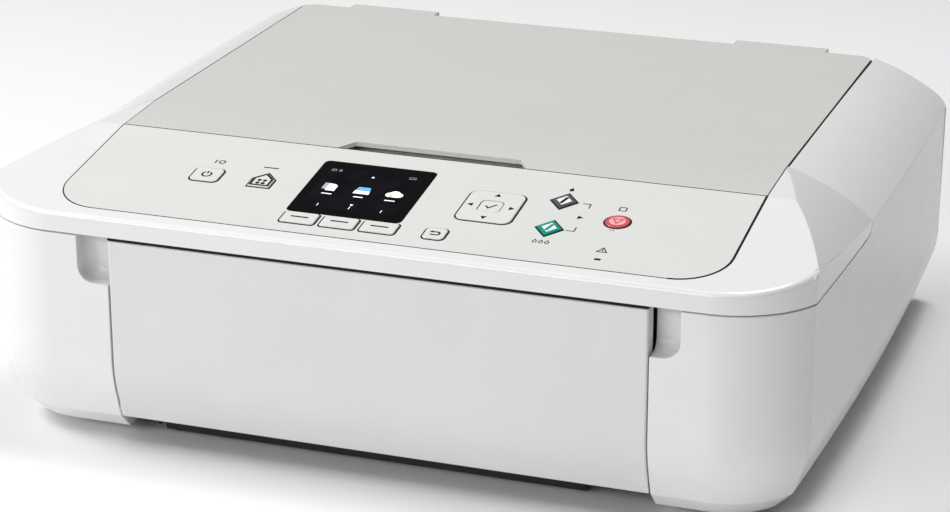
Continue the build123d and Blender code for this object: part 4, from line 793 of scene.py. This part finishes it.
def make_brow_painted_shade(m):
    """Painted shade: the black strip along the brow's underside, over the front cover, that stands for the
    shade in the gap above the cover.
    """
    cover_low, cover_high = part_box("front_cover")
    brow_low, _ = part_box("scanner_frame")
    under = brow_low.z
    side, overlap = BROW_SIDE * MM, BROW_OVERLAP * MM
    low = (cover_low.x + side, cover_low.y + overlap, under - BROW_HANG * MM)
    high = (cover_high.x - side, cover_low.y + BROW_REACH * MM, under + overlap)
    slab("brow_painted_shade", low, high, "scanner", m["ink"], BROW_ROUND * MM)


def make_panel_painted_shade(m):
    """Painted shade: dark lines in the gaps round the panel, that stand for the shade in them."""
    low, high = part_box("operation_panel")
    edge, corner = high.x / MM, PANEL_CORNER
    rear_y, front_y = high.y / MM, low.y / MM
    for side, name, width in ((1, "right", SHADE_RIGHT), (-1, "left", SHADE_LEFT)):
        points = [spot(side * edge, rear_y)]
        for k in range(ARC_STEPS + 1):
            angle = math.radians(90 * k / ARC_STEPS)
            x = edge - corner + corner * math.cos(angle)
            points.append(spot(side * x, front_y + corner - corner * math.sin(angle)))
        flat = [(p[0] / MM, p[1] / MM) for p in points]
        shade_strip = Mark((0, 0, points[0][2])).path(flat, width)
        shade_strip.make("panel_painted_shade_" + name, "scanner", m["ink"], SHADE_LOW, SHADE_HIGH)

    def straight(name, reach, y, width, top):
        left, right = (spot(side * reach, y) for side in (-1, 1))
        line = Mark((0, 0, left[2]))
        line.bar(left[0] / MM, left[1] / MM, right[0] / MM, right[1] / MM, width)
        line.make("panel_painted_shade_" + name, "scanner", m["ink"], SHADE_LOW, top)

    straight("front", edge - corner, front_y, SHADE_FRONT, SHADE_HIGH)
    straight("rear", edge, rear_y + SEAM_SHIFT, SHADE_REAR, SEAM_HIGH)


def make_lid_painted_shade(m):
    """Painted shade: upright dark strips in the gaps beside the lid, which follow its top line and stand for
    the shade in the gaps.
    """
    low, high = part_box("document_lid")
    points = [p.co for p in nodes["document_lid"].data.vertices]
    top = high.z - LID_SHADE_DROP * MM
    bend = min(p.y for p in points if p.z > high.z - LEVEL)
    front_top = max(p.z for p in points if p.y < low.y + LEVEL) - LID_SHADE_DROP * MM
    rear = high.y - LID_SHADE_REAR * MM
    inner, outer = high.x + LID_SHADE_INNER * MM, high.x + LID_SHADE_OUTER * MM
    line = [(low.y, front_top), (bend, top), (rear, top)]
    outline = line + [(y, z - LID_SHADE_DEEP * MM) for y, z in line[::-1]]
    n = len(outline)
    ends = [(0, 5, 4, 1), (1, 4, 3, 2), (6, 7, 10, 11), (7, 8, 9, 10)]
    edges = [(k, (k + 1) % n, (k + 1) % n + n, k + n) for k in range(n)]
    for side, name in ((-1, "left"), (1, "right")):
        data = bpy.data.meshes.new("lid_painted_shade")
        xs = sorted((side * inner, side * outer))
        data.from_pydata([(x, y, z) for x in xs for y, z in outline], [], ends + edges)
        add_piece("lid_painted_shade_" + name, data, m["ink"], "scanner")


materials = make_materials()
make_camera()
make_studio()
dress_nodes(materials)
mark_keys(materials)
mark_start_keys(materials)
mark_panel(materials)
make_painted_gap_shade(materials)
make_screen(materials)
make_tank_labels(materials)
make_brow_painted_shade(materials)
make_panel_painted_shade(materials)
make_lid_painted_shade(materials)
